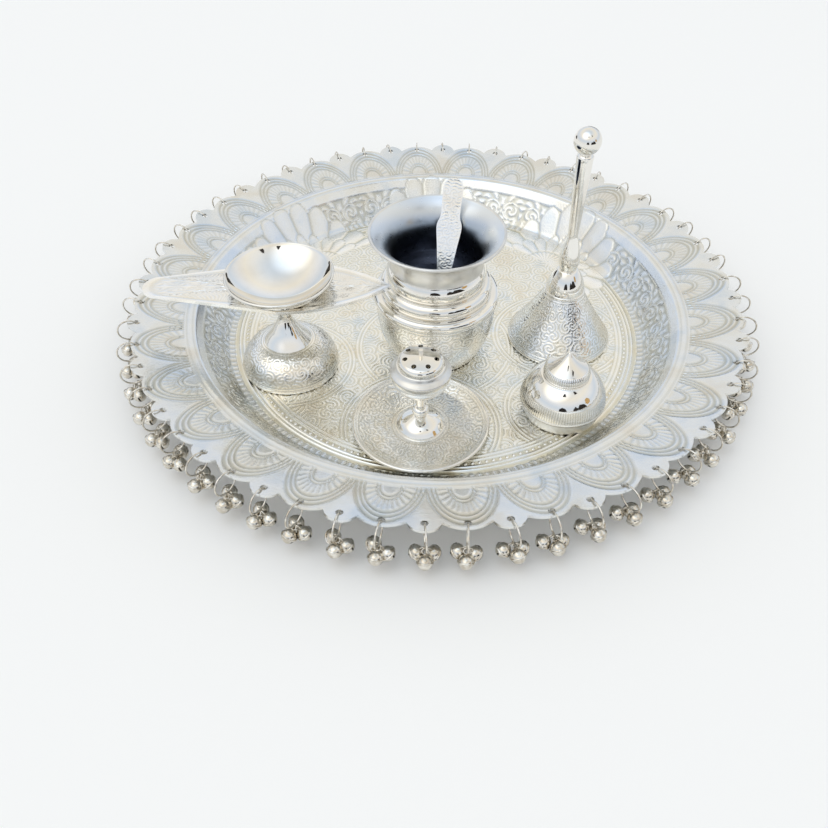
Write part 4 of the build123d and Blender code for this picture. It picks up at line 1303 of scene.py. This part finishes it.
# One bell, hung by its eye from the origin
ball_sizes = {"Segments": 12, "Rings": 7, "Radius": given["Bell radius"]}
ball = geo(drops, "GeometryNodeMeshUVSphere", ball_sizes)
seam_reach = worked(drops, "ADD", given["Bell radius"], given["Seam reach"])
seam_sizes = {"Vertices": 12, "Radius": seam_reach, "Depth": given["Seam height"]}
seam = geo(drops, "GeometryNodeMeshCylinder", seam_sizes)
eye = wire_hoop(drops, given["Eye radius"], given["Eye wire radius"], steps=8, wire_steps=4)
eye_lift = worked(drops, "ADD", given["Bell radius"], given["Eye radius"])
eye_spot = geo(drops, "ShaderNodeCombineXYZ", {"Z": eye_lift})
eye = moved(drops, eye, translation=eye_spot, rotation=(0, quarter_turn, 0))
shell = node(drops, "GeometryNodeJoinGeometry")
for part in (ball, seam, eye):
    drops.links.new(part, shell.inputs["Geometry"])
here = geo(drops, "GeometryNodeInputPosition")
spots = {"Geometry": shell.outputs[0], "Name": "bell_spot", "Value": here}
shell = geo(drops, "GeometryNodeStoreNamedAttribute", spots, data_type="FLOAT_VECTOR", domain="POINT")
eye_top = worked(drops, "ADD", eye_lift, given["Eye radius"])
eye_top = worked(drops, "ADD", eye_top, given["Eye play"])
hang = geo(drops, "ShaderNodeCombineXYZ", {"Z": worked(drops, "MULTIPLY", eye_top, -1.0)})
shell = moved(drops, shell, translation=hang)

# Three bells, leaning and splayed from the bottom of the ring and turned together
points = geo(drops, "GeometryNodePoints", {"Count": 3})
bells = geo(drops, "GeometryNodeInstanceOnPoints", {"Points": points, "Instance": shell})
order = geo(drops, "GeometryNodeInputIndex")
side = worked(drops, "SUBTRACT", order, 1.0)
back_sway = worked(drops, "MULTIPLY", given["Sway"], -1.0)
sway_range = {2: back_sway, 3: given["Sway"], "Seed": given["Seed"]}
wobble = node(drops, "FunctionNodeRandomValue", sway_range, data_type="FLOAT").outputs[1]
splay = worked(drops, "MULTIPLY", side, given["Bell splay"])
off_side = worked(drops, "ABSOLUTE", side)
lean = worked(drops, "MULTIPLY_ADD", off_side, given["Side bell lean"], given["Middle bell lean"])
back_turn = worked(drops, "MULTIPLY", given["Bunch turn"], -1.0)
turn_range = {2: back_turn, 3: given["Bunch turn"], "ID": 0, "Seed": given["Seed"]}
bunch_turn = node(drops, "FunctionNodeRandomValue", turn_range, data_type="FLOAT").outputs[1]
bell_turn = geo(drops, "ShaderNodeCombineXYZ", {"X": splay, "Y": lean, "Z": bunch_turn})
own_turn = {"Instances": bells, "Rotation": bell_turn, "Local Space": True}
bells = geo(drops, "GeometryNodeRotateInstances", own_turn)
ring_drop = worked(drops, "MULTIPLY", given["Ring radius"], -1.0)
ring_bottom = geo(drops, "ShaderNodeCombineXYZ", {"Z": ring_drop})
to_bottom = {"Instances": bells, "Translation": ring_bottom, "Local Space": False}
bells = geo(drops, "GeometryNodeTranslateInstances", to_bottom)
spread = worked(drops, "MULTIPLY", side, given["Bell spread"])
spread_turn = geo(drops, "ShaderNodeCombineXYZ", {"Y": worked(drops, "MULTIPLY", spread, -1.0)})
along_ring = {"Instances": bells, "Rotation": spread_turn, "Local Space": False}
bells = geo(drops, "GeometryNodeRotateInstances", along_ring)

# The ring with its bells, dipping out of its hole
ring = wire_hoop(drops, given["Ring radius"], given["Wire radius"], steps=28, wire_steps=6)
ring = moved(drops, ring, rotation=(quarter_turn, 0, 0))
cluster = node(drops, "GeometryNodeJoinGeometry")
for part in (bells, ring):
    drops.links.new(part, cluster.inputs["Geometry"])
dip_out = worked(drops, "MULTIPLY", worked(drops, "COSINE", given["Ring dip"]), given["Ring radius"])
dip_down = worked(drops, "MULTIPLY", worked(drops, "SINE", given["Ring dip"]), ring_drop)
ring_middle = geo(drops, "ShaderNodeCombineXYZ", {"X": dip_out, "Z": dip_down})
cluster = moved(drops, cluster.outputs[0], translation=ring_middle)
cluster = geo(drops, "GeometryNodeGeometryToInstance", {"Geometry": cluster})
swing = worked(drops, "ADD", given["Facing"], wobble)
swing_turn = geo(drops, "ShaderNodeCombineXYZ", {"Z": swing})
hung = {"Points": given["Geometry"], "Instance": cluster, "Rotation": swing_turn}
completed(drops, geo(drops, "GeometryNodeInstanceOnPoints", hung), given["Metal"], result)

for pair in range(lobe_pairs):
    small_turn = first_small_lobe + pair * lobe_pitch
    turns = (small_turn, small_turn + lobe_pitch / 2)
    holes = [(hole_circle * math.cos(turn), hole_circle * math.sin(turn), hole_height) for turn in turns]
    drop = f"rim_drop_{pair + 1:02d}"
    values = {"Facing": small_turn + lobe_pitch / 4, "Seed": pair, "Metal": antique_silver}
    grown(f"{drop}_bells", drops, holes, values, drop, (drop,))

# Beads pressed between the ring lines of the floor's border, left out where a lotus lies over it
bead_circle = 98.25
bead_count = 190
bead_height = 0.75
bead_flat_shares = (1.0, 1.0, 0.45)
bead_sizes = {"Bead radius": (FLOAT, 0.00095), "Metal": ("NodeSocketMaterial", None)}
beads, given, result = tree_with("border_beads", bead_sizes)
bead = geo(beads, "GeometryNodeMeshUVSphere", {"Segments": 8, "Rings": 5, "Radius": given["Bead radius"]})
bead = moved(beads, bead, scale=bead_flat_shares)
rows = geo(beads, "GeometryNodeInstanceOnPoints", {"Points": given["Geometry"], "Instance": bead})
completed(beads, rows, given["Metal"], result)
bead_turns = np.arange(bead_count) * TAU / bead_count
bead_x = bead_circle * np.cos(bead_turns)
bead_y = bead_circle * np.sin(bead_turns)
bead_free = np.ones(bead_count, dtype=bool)
for fan in lotus_fans:
    fan_reach, fan_turn = lotus_place(bead_x, bead_y, fan)
    bead_free &= (fan_reach > 1) | (np.abs(fan_turn) > lotus_half_turn)
bead_places = np.column_stack([bead_x, bead_y, np.full(bead_count, bead_height)])[bead_free]
grown("plate_border_beads", beads, bead_places, {"Metal": mirror_silver}, "plate")

# Pieces whose solids are right as they are take a turned finish
kept_metals = {"bell_staple": satin_silver, "bell_clapper": mirror_silver, "incense_dome": mirror_silver}
for kept, metal in kept_metals.items():
    kept_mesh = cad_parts[kept].data
    kept_mesh.materials.clear()
    kept_mesh.materials.append(metal)


def staged(name, points, code):
    """A matt sheet of the studio, outside the object."""
    material = bpy.data.materials.new(name + "_matt")
    material.use_nodes = True
    tree = material.node_tree
    tree.nodes.clear()
    matt = node(tree, "ShaderNodeBsdfPrincipled", {"Base Color": linear(code), "Roughness": 0.9})
    node(tree, "ShaderNodeOutputMaterial", {"Surface": matt.outputs["BSDF"]})
    mesh = bpy.data.meshes.new(name)
    mesh.from_pydata(points, [], [list(range(len(points)))])
    mesh.materials.append(material)
    made = bpy.data.objects.new(name, mesh)
    bpy.context.scene.collection.objects.link(made)
    return made


def standing(distance_m, turn, height_m):
    """A place in the studio by its distance from the middle, its turn and its height."""
    return (distance_m * math.cos(turn), distance_m * math.sin(turn), height_m)


# Pale floor
floor_reach_m = 6.0
floor_corners = 64
floor_turns = np.arange(floor_corners) * TAU / floor_corners
staged("floor", [standing(floor_reach_m, turn, 0) for turn in floor_turns], "#FAF9F7")

# Studio flags that draw the edges of the polished silver: a colour, then corners by degrees and metres up
flag_distance_m = 1.15
flags = [
    ("#211C1A", [(-99, 1.5), (-97, 1.95), (-92, 2.3), (-87, 2.05), (-86, 1.5)]),
    ("#211C1A", [(-104, 0.02), (-103, 0.3), (-96, 0.42), (-88, 0.34), (-84, 0.2), (-83, 0.02)]),
    ("#26201B", [(-70, 0.02), (-69, 0.26), (-63, 0.42), (-57, 0.28), (-52, 0.46), (-40, 0.38), (-30, 0.02)]),
    ("#CDA872", [(-36, 0.36), (-33, 0.58), (-26, 0.6), (-21, 0.42), (-23, 0.27), (-31, 0.24)]),
    ("#2B241E", [(-50, 1.5), (-48, 2.0), (-43, 2.3), (-38, 2.1), (-37, 1.5)]),
    ("#3A352F", [(52, 0.02), (54, 0.22), (64, 0.28), (76, 0.2), (78, 0.02)]),
    ("#3A352F", [(128, 0.02), (130, 0.2), (142, 0.28), (152, 0.22), (154, 0.02)]),
]
for number, (code, outline) in enumerate(flags):
    corners = [standing(flag_distance_m, math.radians(degrees), height_m) for degrees, height_m in outline]
    flag = staged(f"studio_flag_{number + 1}", corners, code)
    flag.visible_camera = False
    flag.visible_shadow = False
    flag.visible_diffuse = False

# Soft sky round the studio: white at the horizon, then bluish, cream and pale blue overhead, with a soft glow
world = bpy.data.worlds.new("soft_sky")
world.use_nodes = True
sky = world.node_tree
sky.nodes.clear()
sky_stops = [
    (0.0, "#F6F7F8"),
    (0.3, "#DDE9F8"),
    (0.5, "#F2F5FA"),
    (0.7, "#FCF8EE"),
    (0.85, "#F2F3F2"),
    (1.0, "#D8E5F4"),
]
glow_way = (-0.349, -0.299, 0.888)
looking = node(sky, "ShaderNodeTexCoord").outputs["Generated"]
upward = node(sky, "ShaderNodeSeparateXYZ", {"Vector": looking}).outputs["Z"]
tints = ramp(sky, upward, sky_stops)
aim = node(sky, "ShaderNodeVectorMath", {0: looking, 1: glow_way}, operation="DOT_PRODUCT").outputs["Value"]
glow_levels = {"Value": aim, "From Min": 0.78, "From Max": 1.0, "To Min": 0.95, "To Max": 1.65}
swell = node(sky, "ShaderNodeMapRange", glow_levels, interpolation_type="SMOOTHSTEP").outputs["Result"]
glow = node(sky, "ShaderNodeBackground", {"Color": tints, "Strength": swell})
node(sky, "ShaderNodeOutputWorld", {"Surface": glow.outputs["Background"]})
bpy.context.scene.world = world

# Soft lamp high up on the left, for the floor's shadow; polished faces see the sky's glow instead of its disc
lamp_place_m = Vector((-0.5, -0.35, 2.2))
lamp_size_m = 1.2
lamp_watts = 2.0
lamp_data = bpy.data.lights.new("soft_lamp", "AREA")
lamp_data.shape = "DISK"
lamp_data.size = lamp_size_m
lamp_data.energy = lamp_watts
lamp = bpy.data.objects.new("soft_lamp", lamp_data)
lamp.visible_glossy = False
lamp_aim = lamp_place_m.to_track_quat("Z", "Y").to_matrix().to_4x4()
lamp.matrix_world = Matrix.Translation(lamp_place_m) @ lamp_aim
bpy.context.scene.collection.objects.link(lamp)

camera_data = bpy.data.cameras.new("camera")
camera_data.lens = camera_lens
camera_data.sensor_width = camera_sensor
camera_data.clip_start = camera_clip_m
camera = bpy.data.objects.new("camera", camera_data)
camera.matrix_world = (
    Matrix.Translation([value * METRES_PER_MM for value in camera_place])
    @ Matrix.Rotation(math.pi / 2 - camera_pitch, 4, "X")
    @ Matrix.Rotation(camera_roll, 4, "Z")
)
bpy.context.scene.collection.objects.link(camera)
bpy.context.scene.camera = camera
bpy.context.scene.view_settings.view_transform = "Standard"
